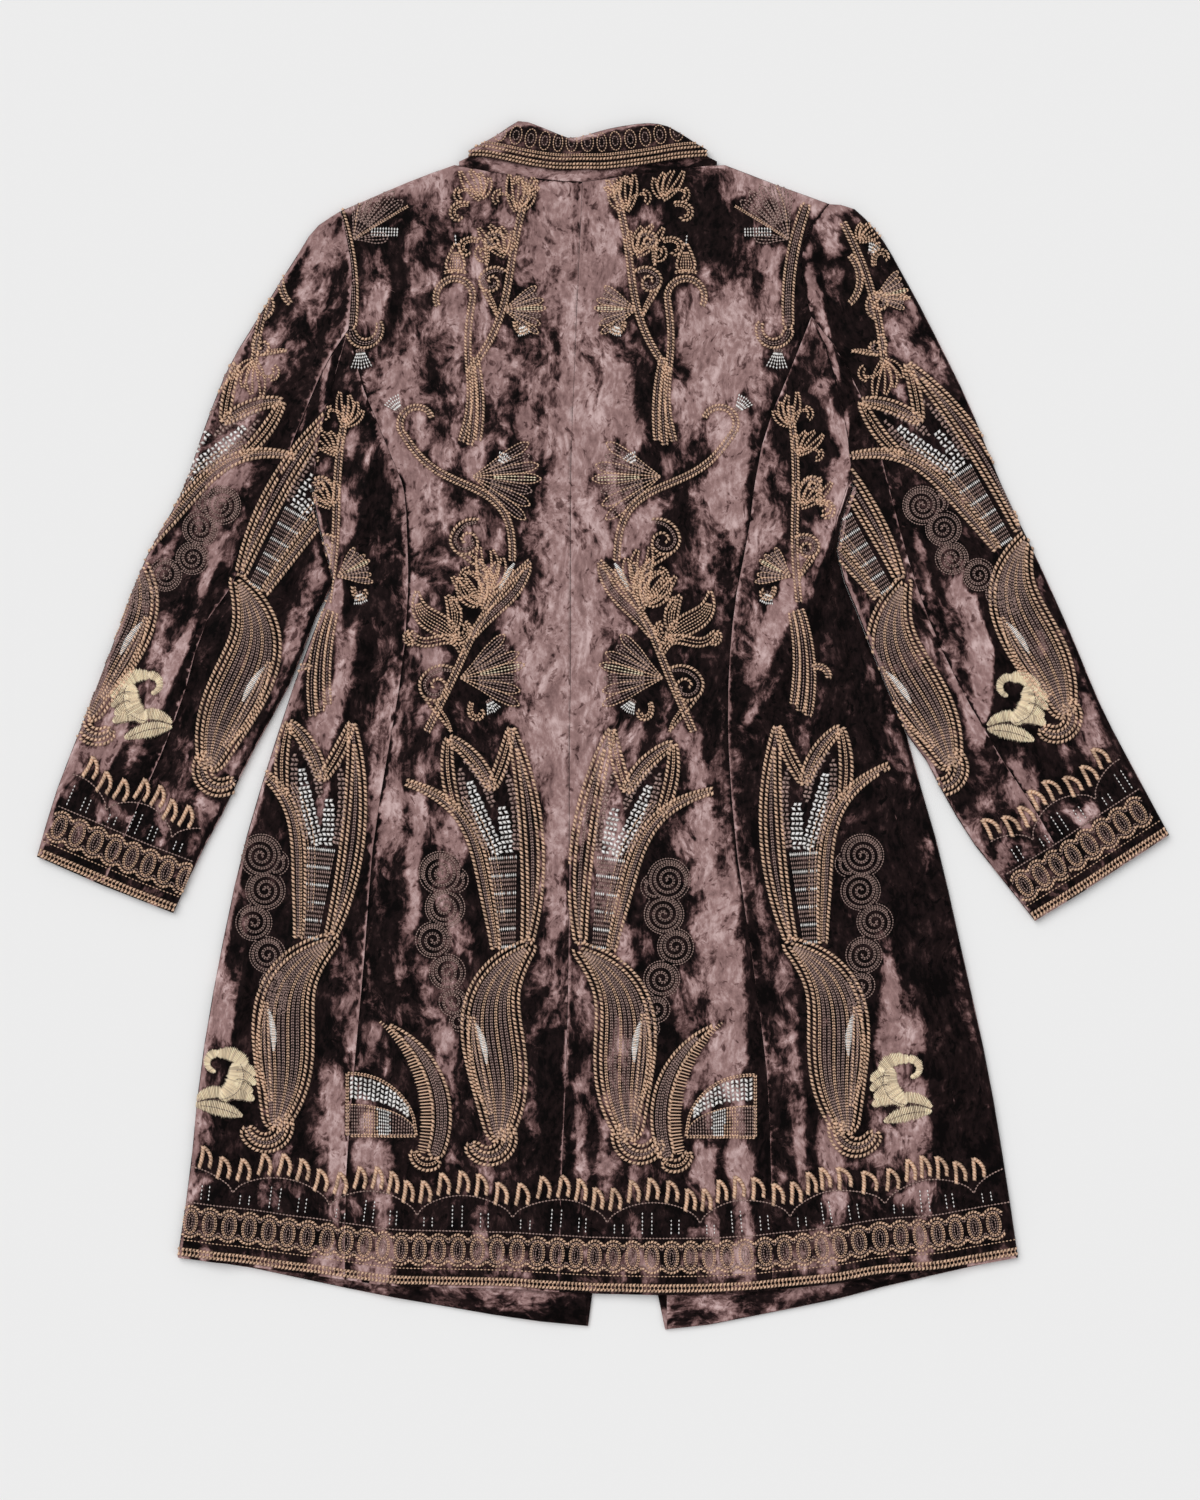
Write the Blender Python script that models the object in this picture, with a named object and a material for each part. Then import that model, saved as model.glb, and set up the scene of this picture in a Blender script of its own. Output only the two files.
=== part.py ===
"""A knee-length velvet coat laid flat, its back uppermost and its sleeves spread down and outward.

Every cloth piece is a closed wall. A piece that reaches the side of the coat turns over there in a half
round, and the fronts lie flat below. X runs to the wearer's right, Y from hem to collar, Z up, and the
tables are in millimetres.
"""

from collections import namedtuple
import math

import bmesh
import bpy
import numpy as np

MM = 0.001

# Cloth and lay
CLOTH = 2.5                  # velvet pile, embroidery and lining together
COLLAR_CLOTH = 2.0
SEAM_GAP = 0.3               # between neighbouring pieces
LAY = 6.6                    # height of the two layers lying flat
TURN = LAY / 2               # outer radius of a turned side
CREASE_GAP = 0.3             # half the space between a sleeve and the side it lies against

# Steps along the pieces
TURN_STEPS = 4
EDGE_ROWS = 18               # up the side of the body, from hem to underarm
SLEEVE_ROWS = 15             # down the inside of a sleeve, from underarm to cuff
HEAD_STEPS = 8               # round the armhole, from the shoulder to the back seams
UNDERARM_STEPS = 5           # from the back seams to the last stretch
UNDERARM_ENDS = (12.0, 4.0)  # the two short steps that end at the underarm
END_STEPS = len(UNDERARM_ENDS)
FRONT_SEAM_STEP = 10         # where the sleeve's front seam meets the armhole
BACK_COLUMNS = (5, 7)        # under the shoulder, and under the neck
FRONT_COLUMNS = (2, 6)       # at the shoulder, and round the neck
SIDE_COLUMNS = 7             # across a side back
STRIP_COLUMNS = 2            # across the strip beside a side seam
SLEEVE_COLUMNS = 6           # across a sleeve piece, above and below

# Left side seam, hidden on the underside, in from the edge
LEFT_SEAM_IN = 23.0

Section = namedtuple("Section", "y left_edge left_princess centre right_princess right_side right_edge")
BODY = [
    Section(-462, -370, -224, -38, 147, 316, 361),
    Section(-395, -360, -223, -36, 146, 313, 351),
    Section(-300, -350, -216, -32, 142, 300, 335),
    Section(-200, -333, -207, -30, 129, 281, 313),
    Section(-100, -311, -199, -29, 115, 260, 290),
    Section(-20, -287, -186, -29, 109, 235, 267),
    Section(60, -260, -173, -28, 110, 212, None),
    Section(122, None, -169, -28, 117, 199, None),
    Section(165, None, -170, -28, 126, 199, None),
    Section(205, None, -173, -28, 131, None, None),
    Section(255, None, -193, -27, 141, None, None),
    Section(305, None, -212, -25, 161, None, None),
    Section(400, None, None, -21, None, None, None),
]

Hem = namedtuple("Hem", "x back front")
HEM = [
    Hem(-371, -462, -462),
    Hem(-318, -468, -469),
    Hem(-260, -476, -481),
    Hem(-183, -486, -497),
    Hem(-124, -488, -507),
    Hem(-78, -489, -515),
    Hem(-13, -493, -522),
    Hem(54, -494, -525),
    Hem(91, -494, -521),
    Hem(146, -490, -510),
    Hem(197, -485, -500),
    Hem(239, -478, -489),
    Hem(286, -474, -478),
    Hem(362, -462, -461),
]

# The armholes, from shoulder to underarm. Row BACK_SEAM meets the princess seam and the sleeve seam.
Armhole = namedtuple("Armhole", "left_x left_y right_x right_y")
ARMHOLE = [
    Armhole(-228, 447, 197, 453),
    Armhole(-223, 426, 181, 435),
    Armhole(-218, 392, 173, 409),
    Armhole(-219, 366, 174, 384),
    Armhole(-221, 344, 181, 355),
    Armhole(-231, 309, 194, 327),
    Armhole(-238, 283, 203, 296),
    Armhole(-247, 244, 211, 257),
    Armhole(-253, 203, 217, 207),
]
BACK_SEAM = 4

# The crease where a sleeve lies against the side, from underarm to the slit between them
Crease = namedtuple("Crease", "left_x left_y right_x right_y")
CREASE = [
    Crease(-253, 203, 217, 207),
    Crease(-245, 165, 203, 157),
    Crease(-238, 140, 225, 87),
    Crease(-234, 124, 264, -8),
]
CREASE_ROWS = {"left": 5, "right": 8}

SleeveSection = namedtuple("SleeveSection", "outer_x outer_y seam_x seam_y inner_x inner_y")
LEFT_SLEEVE = [
    SleeveSection(-228, 447, -221, 344, None, None),
    SleeveSection(-249, 433, -241, 313, None, None),
    SleeveSection(-266, 408, -254, 283, None, None),
    SleeveSection(-298, 357, -270, 245, -234, 124),
    SleeveSection(-325, 312, -285, 206, -246, 102),
    SleeveSection(-345, 262, -302, 164, -258, 70),
    SleeveSection(-367, 201, -322, 122, -276, 27),
    SleeveSection(-396, 148, -346, 87, -296, -8),
    SleeveSection(-426, 70, -361, 35, -315, -45),
    SleeveSection(-453, 0, -382, -22, -330, -76),
    SleeveSection(-476, -60, -408, -80, -351, -115),
    SleeveSection(-492, -114, -434, -139, -373, -163),
]
RIGHT_SLEEVE = [
    SleeveSection(197, 453, 181, 355, None, None),
    SleeveSection(214, 451, 203, 326, None, None),
    SleeveSection(236, 431, 221, 293, None, None),
    SleeveSection(262, 389, 237, 250, None, None),
    SleeveSection(290, 336, 249, 204, None, None),
    SleeveSection(318, 279, 262, 155, None, None),
    SleeveSection(345, 212, 277, 108, 264, -8),
    SleeveSection(376, 147, 297, 60, 277, -25),
    SleeveSection(405, 83, 320, 15, 297, -62),
    SleeveSection(435, 12, 345, -27, 320, -100),
    SleeveSection(465, -45, 379, -80, 346, -133),
    SleeveSection(492, -95, 414, -146, 375, -170),
]
SLEEVES = {"left": LEFT_SLEEVE, "right": RIGHT_SLEEVE}

Shoulder = namedtuple("Shoulder", "left_x left_y right_x right_y")
SHOULDER = [
    Shoulder(-228, 447, 197, 453),
    Shoulder(-211, 454, 180, 459),
    Shoulder(-177, 469, 153, 469),
    Shoulder(-149, 480, 123, 480),
    Shoulder(-129, 487, 106, 487),
]

# The collar's lines across the back: neck seam, free edge of the fall and the fold along its top
Collar = namedtuple("Collar", "x neck edge fold")
COLLAR = [
    Collar(-129, 487, 490, 491),
    Collar(-118, 485, 493, 498.5),
    Collar(-104, 482, 493, 506),
    Collar(-87, 479, 490, 516),
    Collar(-73, 477, 487, 525),
    Collar(-57, 475, 484, 521),
    Collar(-40, 473, 482, 514),
    Collar(-28, 472, 482, 510),
    Collar(-17, 472, 482, 512),
    Collar(0, 474, 482, 517),
    Collar(20, 477, 484, 521),
    Collar(42, 480, 487, 523),
    Collar(53, 481, 488.5, 521.5),
    Collar(66, 483, 491, 515),
    Collar(80, 485, 493, 506),
    Collar(92, 486, 493, 499),
    Collar(106, 487, 489, 490.5),
]
CENTRE_NECK = (-18, 472)
UPWARD = np.array((0.0, 1.0))
FALL_ENDS = (-117, 91)
STAND_ENDS = (-125, 99)
STAND_DROP = 6.0             # of the stand's top below the fold
STAND_LEAST = 3.0            # its height at the ends
COLLAR_COLUMNS = 24
FALL_ROWS = 3
FALL_RETURN = 8.0            # of the fall on the inner side of the stand
FALL_REST = LAY + SEAM_GAP   # height of the fall's underside

# Front edges, from hem to neck, and the round front neck with its collar
FrontEdge = namedtuple("FrontEdge", "y left_x right_x")
FRONT_EDGE = [
    FrontEdge(-523, -13, 54),
    FrontEdge(-491, -9, 47),
    FrontEdge(-369, -10, 32),
    FrontEdge(-195, -15, 17),
    FrontEdge(-21, -20, 3),
    FrontEdge(153, -23, -8),
    FrontEdge(283, -26, -14),
    FrontEdge(395, -27, -19),
]
FRONT_COLLAR_WIDTH = 38.0

# Facing inside the hem of each front
FACING_WALL = 1.0
FACING_DEPTH = 60.0
FACING_STEPS = 10
FACING_ENDS = {"left": (-340, -14.5), "right": (55.5, 330)}
FACING_TUCK = 0.5

# Soft folds of the upper layer, each a ridge through three points
Fold = namedtuple("Fold", "x0 y0 x1 y1 x2 y2 width height")
FOLDS = [
    Fold(184, 300, 205, 271, 222, 240, 12, 4.0),
    Fold(222, 240, 190, 146, 128, 12, 15, 6.0),
    Fold(285, 179, 335, 74, 332, -30, 14, 5.0),
    Fold(345, 22, 380, -56, 411, -134, 14, 3.5),
    Fold(241, 370, 284, 283, 311, 196, 20, 4.0),
    Fold(-264, 344, -307, 240, -338, 144, 20, 4.0),
    Fold(-242, 214, -281, 144, -316, 74, 14, 4.0),
    Fold(-359, 74, -394, -13, -429, -100, 15, 3.0),
    Fold(-311, -204, -329, -326, -338, -600, 16, 4.0),
    Fold(-264, -152, -272, -308, -277, -600, 18, 3.0),
    Fold(-181, -239, -181, -369, -181, -600, 20, 3.5),
    Fold(-107, -30, -116, -195, -120, -326, 22, 3.0),
    Fold(-50, -282, -54, -404, -56, -600, 16, 3.0),
    Fold(41, -308, 45, -404, 50, -600, 22, 3.0),
    Fold(106, -134, 124, -282, 137, -600, 14, 4.5),
    Fold(197, -239, 210, -369, 215, -600, 18, 3.5),
    Fold(263, -195, 284, -326, 293, -600, 16, 4.0),
    Fold(-159, 144, -142, 74, -129, 5, 18, 3.0),
    Fold(32, 283, 41, 179, 45, 74, 22, 2.5),
    Fold(-207, 109, -224, 22, -255, -82, 14, 3.5),
]
FOLD_STEPS = 10
FOLD_FADE = 0.22             # share of a fold's length over which it rises and dies

# Gathers of each sleeve head
GATHERS = 5
GATHER_PITCH = 19.0
GATHER_LENGTH = 46.0
GATHER_WIDTH = 6.0
GATHER_HEIGHT = 2.4

# Velvet colours
VELVET = (0.075, 0.052, 0.052, 1.0)
COLLAR_VELVET = (0.16, 0.11, 0.10, 1.0)
FACING_VELVET = (0.10, 0.07, 0.07, 1.0)
NAP_ROUGHNESS = 0.85


class Curve:
    """A smooth curve through its points, walked by length."""

    def __init__(self, points):
        through = np.array(points, float)
        reach = np.concatenate([[0.0], np.cumsum(np.linalg.norm(np.diff(through, axis=0), axis=1))])
        slope = np.gradient(through, reach, axis=0)
        fine = np.linspace(0.0, reach[-1], 16 * len(through))
        span = np.clip(np.searchsorted(reach, fine, side="right") - 1, 0, len(through) - 2)
        width = (reach[span + 1] - reach[span])[:, None]
        u = (fine - reach[span])[:, None] / width
        self.points = (through[span] * (2 * u**3 - 3 * u**2 + 1)
                       + slope[span] * width * (u**3 - 2 * u**2 + u)
                       + through[span + 1] * (3 * u**2 - 2 * u**3)
                       + slope[span + 1] * width * (u**3 - u**2))
        steps = np.linalg.norm(np.diff(self.points, axis=0), axis=1)
        self.reach = np.concatenate([[0.0], np.cumsum(steps)])
        self.length = self.reach[-1]

    def at(self, lengths):
        return np.stack([np.interp(lengths, self.reach, self.points[:, k]) for k in (0, 1)], axis=1)

    def even(self, steps):
        return self.at(np.linspace(0.0, self.length, steps + 1))


    def beside(self, line):
        """As many points as a line has, spaced in proportion to it."""
        steps = np.linalg.norm(np.diff(line, axis=0), axis=1)
        shares = np.concatenate([[0.0], np.cumsum(steps)]) / np.sum(steps)
        return self.at(shares * self.length)

    def level(self, heights):
        """Points at the given heights, stretched to where the curve starts and ends."""
        low, high = self.points[0, 1], self.points[-1, 1]
        y = low + (heights - heights[0]) * (high - low) / (heights[-1] - heights[0])
        return np.stack([np.interp(y, self.points[:, 1], self.points[:, 0]), y], axis=1)


def column(table, name):
    return [getattr(row, name) for row in table]


def height_at(table, name, x):
    """The named line of a table, read at places along X."""
    line = Curve(list(zip(column(table, "x"), column(table, name))))
    return np.interp(x, line.points[:, 0], line.points[:, 1])


def pairs(table, side):
    return [(getattr(row, side + "_x"), getattr(row, side + "_y")) for row in table]


def unit(vectors):
    return vectors / np.linalg.norm(vectors, axis=-1, keepdims=True)


def normals(line, inward):
    """Unit normals of a line, on the side that the given vectors point to."""
    along = unit(np.gradient(line, axis=0))
    across = np.stack([-along[:, 1], along[:, 0]], axis=1)
    return across if np.sum(across * inward) > 0 else -across


def meet(line, start, end):
    """The line with its ends moved onto the given points."""
    share = np.linspace(0.0, 1.0, len(line))[:, None]
    return line + (start - line[0]) * (1 - share) + (end - line[-1]) * share


def end_at(line, start, end):
    return np.concatenate([[start], line[1:-1], [end]])


def drawn_in(line, inward, gap):
    """How far a seam line moves into its piece: a gap for the whole line or for each point."""
    if np.ndim(gap) == 0 and gap == 0:
        return np.zeros_like(line)
    return normals(line, inward) * np.reshape(gap, (-1, 1))


def patch(bottom, top, left, right, gaps):
    """A grid of plan points between four lines, each side drawn in by its gap."""
    across = bottom[1] - bottom[0] + top[1] - top[0]
    move_b = drawn_in(bottom, left[1] - left[0] + right[1] - right[0], gaps[0])
    move_t = drawn_in(top, left[-2] - left[-1] + right[-2] - right[-1], gaps[1])
    move_l = drawn_in(left, across, gaps[2])
    move_r = drawn_in(right, -across, gaps[3])
    left = end_at(left + move_l, left[0] + move_l[0] + move_b[0], left[-1] + move_l[-1] + move_t[0])
    right = end_at(right + move_r, right[0] + move_r[0] + move_b[-1], right[-1] + move_r[-1] + move_t[-1])
    bottom = end_at(bottom + move_b, left[0], right[0])
    top = end_at(top + move_t, left[-1], right[-1])
    t = np.linspace(0.0, 1.0, len(left))[:, None, None]
    s = np.linspace(0.0, 1.0, len(bottom))[None, :, None]
    between_sides = left[:, None] * (1 - s) + right[:, None] * s
    between_ends = bottom[None] * (1 - t) + top[None] * t
    corners = ((left[0] * (1 - s) + right[0] * s) * (1 - t)
               + (left[-1] * (1 - s) + right[-1] * s) * t)
    return between_sides + between_ends - corners


def wedge(base, left, right, left_gap, right_gap):
    """A grid between a base line and two sides that meet at their far ends, drawn in by their gaps."""
    move_l = drawn_in(left, base[-1] - base[0], left_gap)
    move_r = drawn_in(right, base[0] - base[-1], right_gap)
    tip = left[-1] + move_l[-1] + move_r[-1]
    left = end_at(left + move_l, left[0] + move_l[0], tip)
    right = end_at(right + move_r, right[0] + move_r[0], tip)
    base = end_at(base, left[0], right[0])
    t = np.linspace(0.0, 1.0, len(left))[:, None, None]
    s = np.linspace(0.0, 1.0, len(base))[None, :, None]
    straight = left[0] * (1 - s) + right[0] * s
    return left[:, None] * (1 - s) + right[:, None] * s + (base[None] - straight) * (1 - t)


def ease(share):
    share = np.clip(share, 0.0, 1.0)
    return share * share * (3 - 2 * share)


def ridge(fold, x, y):
    """Height of one fold over the places x, y."""
    start = np.array((fold.x0, fold.y0), float)
    end = np.array((fold.x2, fold.y2), float)
    bend = 2 * np.array((fold.x1, fold.y1), float) - (start + end) / 2
    t = np.linspace(0.0, 1.0, FOLD_STEPS + 1)[:, None]
    spine = start * (1 - t)**2 + bend * 2 * t * (1 - t) + end * t**2
    nearest = np.full(np.shape(x), np.inf)
    share = np.zeros(np.shape(x))
    for step in range(FOLD_STEPS):
        run = spine[step + 1] - spine[step]
        part = ((x - spine[step][0]) * run[0] + (y - spine[step][1]) * run[1]) / np.sum(run**2)
        held = np.clip(part, 0.0, 1.0)
        gap = np.hypot(x - spine[step][0] - held * run[0], y - spine[step][1] - held * run[1])
        closer = gap < nearest
        nearest = np.where(closer, gap, nearest)
        share = np.where(closer, (step + held) / FOLD_STEPS, share)
    fade = ease(share / FOLD_FADE) * ease((1 - share) / FOLD_FADE)
    return fold.height * fade * np.exp(-(nearest / fold.width)**2)


def gathers():
    """Short ridges that leave each armhole at the sleeve head."""
    found = []
    for side in ("left", "right"):
        line = Curve(pairs(ARMHOLE, side)[:BACK_SEAM + 1])
        outward = -1.0 if side == "left" else 1.0
        for count in range(GATHERS):
            start = line.at([GATHER_PITCH * (count + 0.5)])[0]
            spread = math.radians(52 - 17 * count)
            way = np.array((outward * math.cos(spread), math.sin(spread) * 0.35 - 0.25))
            middle = start + way * GATHER_LENGTH / 2
            end = start + way * GATHER_LENGTH
            tall = GATHER_HEIGHT * (1.0 if count % 2 else 0.7)
            found.append(Fold(*start, *middle, *end, GATHER_WIDTH, tall))
    return found


ALL_FOLDS = FOLDS + gathers()


def lift(plan):
    """How far the folds raise the upper layer above its flat height."""
    return sum(ridge(fold, plan[..., 0], plan[..., 1]) for fold in ALL_FOLDS)


def at_height(plan, z):
    return np.concatenate([plan, np.broadcast_to(z, plan.shape[:-1])[..., None]], axis=-1)


def upper(plan):
    """Outer and inner faces of a stretch of the upper layer."""
    z = LAY + lift(plan)
    return at_height(plan, z), at_height(plan, z - CLOTH)


def lower(plan):
    """Outer and inner faces of a stretch that lies on the ground."""
    return at_height(plan, 0.0), at_height(plan, CLOTH)


def inset(edge, toward):
    """Where a turned edge leaves the flat, and the way it turns."""
    beside = toward[np.linspace(0, len(toward) - 1, len(edge)).astype(int)]
    inward = normals(edge, beside - edge)
    return edge + inward * TURN, -inward


def half_turn(line, ways):
    """The side of the coat, from the upper layer round to the lower one."""
    raised = lift(line)
    outer = []
    inner = []
    for step in range(TURN_STEPS + 1):
        angle = math.pi * step / TURN_STEPS
        share = (1 + math.cos(angle)) / 2
        for faces, radius in ((outer, TURN), (inner, TURN - CLOTH)):
            z = TURN + radius * math.cos(angle) + raised * share
            faces.append(at_height(line + ways * radius * math.sin(angle), z))
    return np.stack(outer, axis=1), np.stack(inner, axis=1)


def quarter_turn(line, ways, turned, facing):
    """The top of a body piece: turned to the shoulder seam where turned is 1, flat at the neck."""
    raised = lift(line) if facing > 0 else 0.0
    steps = TURN_STEPS // 2
    closing = math.acos(SEAM_GAP / 2 / TURN)
    outer = []
    inner = []
    for step in range(steps + 1):
        angle = closing * step / steps
        flat = (TURN - SEAM_GAP / 2) * step / steps
        for faces, radius in ((outer, TURN), (inner, TURN - CLOTH)):
            out = turned * radius * math.sin(angle) + (1 - turned) * flat
            rise = radius * (turned * math.cos(angle) + 1 - turned)
            z = TURN + facing * rise + raised * math.cos(angle)
            faces.append(at_height(line + ways * out[:, None], z))
    return np.stack(outer), np.stack(inner)


def sew(name, stretches, colour):
    """One closed cloth piece from the outer and inner grids of its stretches."""
    index = {}
    outer = []
    inner = []
    faces = []
    for outside, inside in stretches:
        rows, columns = outside.shape[:2]
        number = np.zeros((rows, columns), int)
        for i in range(rows):
            for j in range(columns):
                key = tuple(np.round(outside[i, j], 2) + 0.0)
                if key not in index:
                    index[key] = len(outer)
                    outer.append(outside[i, j])
                    inner.append(inside[i, j])
                number[i, j] = index[key]
        for i in range(rows - 1):
            for j in range(columns - 1):
                ring = (number[i, j], number[i, j + 1], number[i + 1, j + 1], number[i + 1, j])
                corners = list(dict.fromkeys(ring))
                if len(corners) > 2:
                    faces.append(corners)
    mesh = bpy.data.meshes.new(name)
    form = bmesh.new()
    outer_verts = [form.verts.new(point * MM) for point in outer]
    inner_verts = [form.verts.new(point * MM) for point in inner]
    for corners in faces:
        form.faces.new([outer_verts[k] for k in corners])
    form.verts.index_update()
    rim = [[vert.index for vert in edge.verts] for edge in form.edges if len(edge.link_faces) == 1]
    for corners in faces:
        form.faces.new([inner_verts[k] for k in reversed(corners)])
    for a, b in rim:
        form.faces.new((outer_verts[a], outer_verts[b], inner_verts[b], inner_verts[a]))
    bmesh.ops.recalc_face_normals(form, faces=form.faces)
    form.to_mesh(mesh)
    form.free()
    mesh.materials.append(colour)
    mesh.shade_smooth()
    piece = bpy.data.objects.new(name, mesh)
    bpy.context.collection.objects.link(piece)
    return piece


def velvet(name, base):
    material = bpy.data.materials.new(name)
    material.use_nodes = True
    shader = material.node_tree.nodes["Principled BSDF"]
    shader.inputs["Base Color"].default_value = base
    shader.inputs["Roughness"].default_value = NAP_ROUGHNESS
    shader.inputs["Metallic"].default_value = 0.0
    return material


def body_line(name, top_points):
    """A seam of the body from the back hem to its top."""
    found = [(getattr(row, name), row.y) for row in BODY if getattr(row, name) is not None]
    foot = (found[0][0], float(height_at(HEM, "back", found[0][0])))
    return Curve([foot] + found[1:] + list(top_points))


def armhole(side):
    """Places round an armhole, from shoulder to underarm, with two short steps at the underarm."""
    points = pairs(ARMHOLE, side)
    head = Curve(points[:BACK_SEAM + 1]).even(HEAD_STEPS)
    under = Curve(points[BACK_SEAM:])
    long_steps = np.linspace(0.0, under.length - UNDERARM_ENDS[0], UNDERARM_STEPS + 1)
    stations = list(long_steps[1:]) + [under.length - UNDERARM_ENDS[1], under.length]
    line = np.concatenate([head, under.at(stations)])
    line[0] += unit(line[1] - line[0]) * TURN
    return line


def body_edge(side):
    """A side of the body from hem to underarm."""
    found = [(getattr(row, side + "_edge"), row.y) for row in BODY if getattr(row, side + "_edge") is not None]
    crease = pairs(CREASE, side)[::-1]
    rows = CREASE_ROWS[side]
    low = Curve(found + crease[:1]).even(EDGE_ROWS - rows)
    line = join(low, Curve(crease).even(rows))
    line[:, 0] += CREASE_GAP if side == "left" else -CREASE_GAP
    return line


def flank(side):
    """Inset side edge continued up the armhole to the princess seam, with its turning ways and gaps."""
    edge = body_edge(side)
    middle = body_line("centre", [CENTRE_NECK]).even(EDGE_ROWS)
    line, ways = inset(edge, middle)
    line = np.concatenate([line, armhole(side)[HEAD_STEPS:-1][::-1]])
    gaps = np.array([0.0] * len(edge) + [SEAM_GAP / 2] * (len(line) - len(edge)))
    return line, ways, gaps


def hem_line(name, start, end, steps):
    x = np.linspace(start, end, steps + 1)
    return np.stack([x, height_at(HEM, name, x)], axis=1)


def join(*lines):
    """Lines end to end, each starting where the last stopped."""
    return np.concatenate([lines[0]] + [line[1:] for line in lines[1:]])


def shoulder_top(side, columns):
    """Top of a back piece, from shoulder tip to centre: its edge, and 1 where it is turned."""
    shoulder = Curve(pairs(SHOULDER, side)).even(columns[0])
    turned = np.array([1.0] * (columns[0] + 1) + [0.0] * columns[1])
    return join(shoulder, back_neck(side, columns[1])), turned


def back_neck(side, steps):
    """Half of the back neck, from shoulder to centre."""
    end = SHOULDER[-1]
    start = end.left_x if side == "left" else end.right_x
    x = np.linspace(start, CENTRE_NECK[0], steps + 1)
    return np.stack([x, height_at(COLLAR, "neck", x)], axis=1)


def front_neck(side, steps, inward=0.0):
    """The round front neck, from shoulder to front edge, or a line drawn in from it."""
    corner = SHOULDER[-1]
    start_x = corner.left_x if side == "left" else corner.right_x
    edge = FRONT_EDGE[-1]
    end_x = edge.left_x if side == "left" else edge.right_x
    wide = start_x - end_x
    deep = corner.left_y - edge.y
    angle = np.linspace(0.0, math.pi / 2, steps + 1)
    across = wide - math.copysign(inward, wide)
    return np.stack([end_x + across * np.cos(angle), corner.left_y - (deep - inward) * np.sin(angle)], axis=1)


def turn_ways(edge, toward, first=None, last=None):
    """Inset line and turning directions, with a set direction where the end meets another piece."""
    line, ways = inset(edge, toward)
    for place, way in ((0, first), (-1, last)):
        if way is not None:
            ways[place] = way
            line[place] = edge[place] - way * TURN
    return line, ways


def princess_seam(side):
    """The princess seam, with a point level with each point of the side beyond it."""
    line = flank(side)[0]
    return body_line(side + "_princess", [line[-1]]).level(line[:, 1])


def back_centre(side, colour):
    """Centre back, from the centre seam to the princess seam and up to the shoulder."""
    holes = armhole(side)
    outer = join(princess_seam(side), holes[:HEAD_STEPS + 1][::-1])
    edge, turned = shoulder_top(side, BACK_COLUMNS)
    tip_way = unit(holes[0] - holes[1])
    line, ways = turn_ways(edge, outer, first=tip_way, last=UPWARD)
    line[0] = holes[0]
    centre = body_line("centre", [line[-1]]).even(len(outer) - 1)
    hem = hem_line("back", outer[0][0], centre[0][0], sum(BACK_COLUMNS))
    half = SEAM_GAP / 2
    plan = patch(hem, line, outer, centre, (0.0, 0.0, half, half))
    rolled = quarter_turn(plan[-1], ways, turned, 1.0)
    return sew("back_" + side, [upper(plan), rolled], colour)


def side_back_left(colour):
    """Left side back: from the princess seam over the side to the seam underneath."""
    line, ways, gaps = flank("left")
    princess = princess_seam("left")
    half = SEAM_GAP / 2
    hem = hem_line("back", line[0][0], princess[0][0], SIDE_COLUMNS)
    plan = wedge(hem, line, princess, gaps, half)
    seam = left_under_seam()
    rows = len(seam)
    low_hem = hem_line("front", line[0][0], seam[0][0], STRIP_COLUMNS)
    low_plan = wedge(low_hem, line[:rows], seam, gaps[:rows], half)
    rolled = half_turn(plan[:len(ways), 0], ways)
    return sew("side_back_left", [upper(plan), rolled, lower(low_plan)], colour)


def left_under_seam():
    """The left side seam on the underside, up to the armhole."""
    edge = body_edge("left")
    line = edge + normals(edge, np.array((1.0, 0.0))) * LEFT_SEAM_IN
    foot = (line[0][0], float(height_at(HEM, "front", line[0][0])))
    top = armhole("left")[-1 - END_STEPS]
    heights = flank("left")[0][:EDGE_ROWS + 1 + END_STEPS, 1]
    return Curve([foot] + list(line[1:-1]) + [top]).level(heights)


def right_seam():
    """The right side seam, which shows, up to the armhole."""
    top = armhole("right")[-1 - END_STEPS]
    heights = flank("right")[0][:EDGE_ROWS + 1 + END_STEPS, 1]
    return body_line("right_side", [top]).level(heights)


def side_back_right(colour):
    """Right side back, between the princess seam and the side seam that shows."""
    princess = princess_seam("right")
    under = armhole("right")[HEAD_STEPS:-END_STEPS][::-1]
    outer = join(right_seam(), under)
    hem = hem_line("back", princess[0][0], outer[0][0], SIDE_COLUMNS)
    half = SEAM_GAP / 2
    return sew("side_back_right", [upper(wedge(hem, princess, outer, half, half))], colour)


def front_edge(side, start_y):
    points = [(getattr(row, side + "_x"), row.y) for row in FRONT_EDGE]
    points[0] = (points[0][0], start_y)
    return Curve(points)


def front_top(side):
    """Top of a front, from shoulder tip to front edge: its edge, and 1 where it is turned."""
    shoulder = Curve(pairs(SHOULDER, side)).even(FRONT_COLUMNS[0])
    neck = front_neck(side, FRONT_COLUMNS[1])
    turned = np.array([1.0] * (FRONT_COLUMNS[0] + 1) + [0.0] * FRONT_COLUMNS[1])
    return join(shoulder, neck), turned


def front_sheet(side, outer, gaps):
    """Plan of the front that lies below, and its turned shoulder."""
    edge, turned = front_top(side)
    holes = armhole(side)
    tip_way = unit(holes[0] - holes[1])
    line, ways = turn_ways(edge, outer, first=tip_way, last=UPWARD)
    line[0] = holes[0]
    foot_x = FRONT_EDGE[0].left_x if side == "left" else FRONT_EDGE[0].right_x
    foot_y = float(height_at(HEM, "front", foot_x))
    opening = front_edge(side, foot_y)
    inner = meet(opening.even(len(outer) - 1), opening.points[0], line[-1])
    hem = hem_line("front", outer[0][0], inner[0][0], sum(FRONT_COLUMNS))
    plan = patch(hem, line, outer, inner, (0.0, 0.0, gaps, 0.0))
    return plan, quarter_turn(plan[-1], ways, turned, -1.0)


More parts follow.
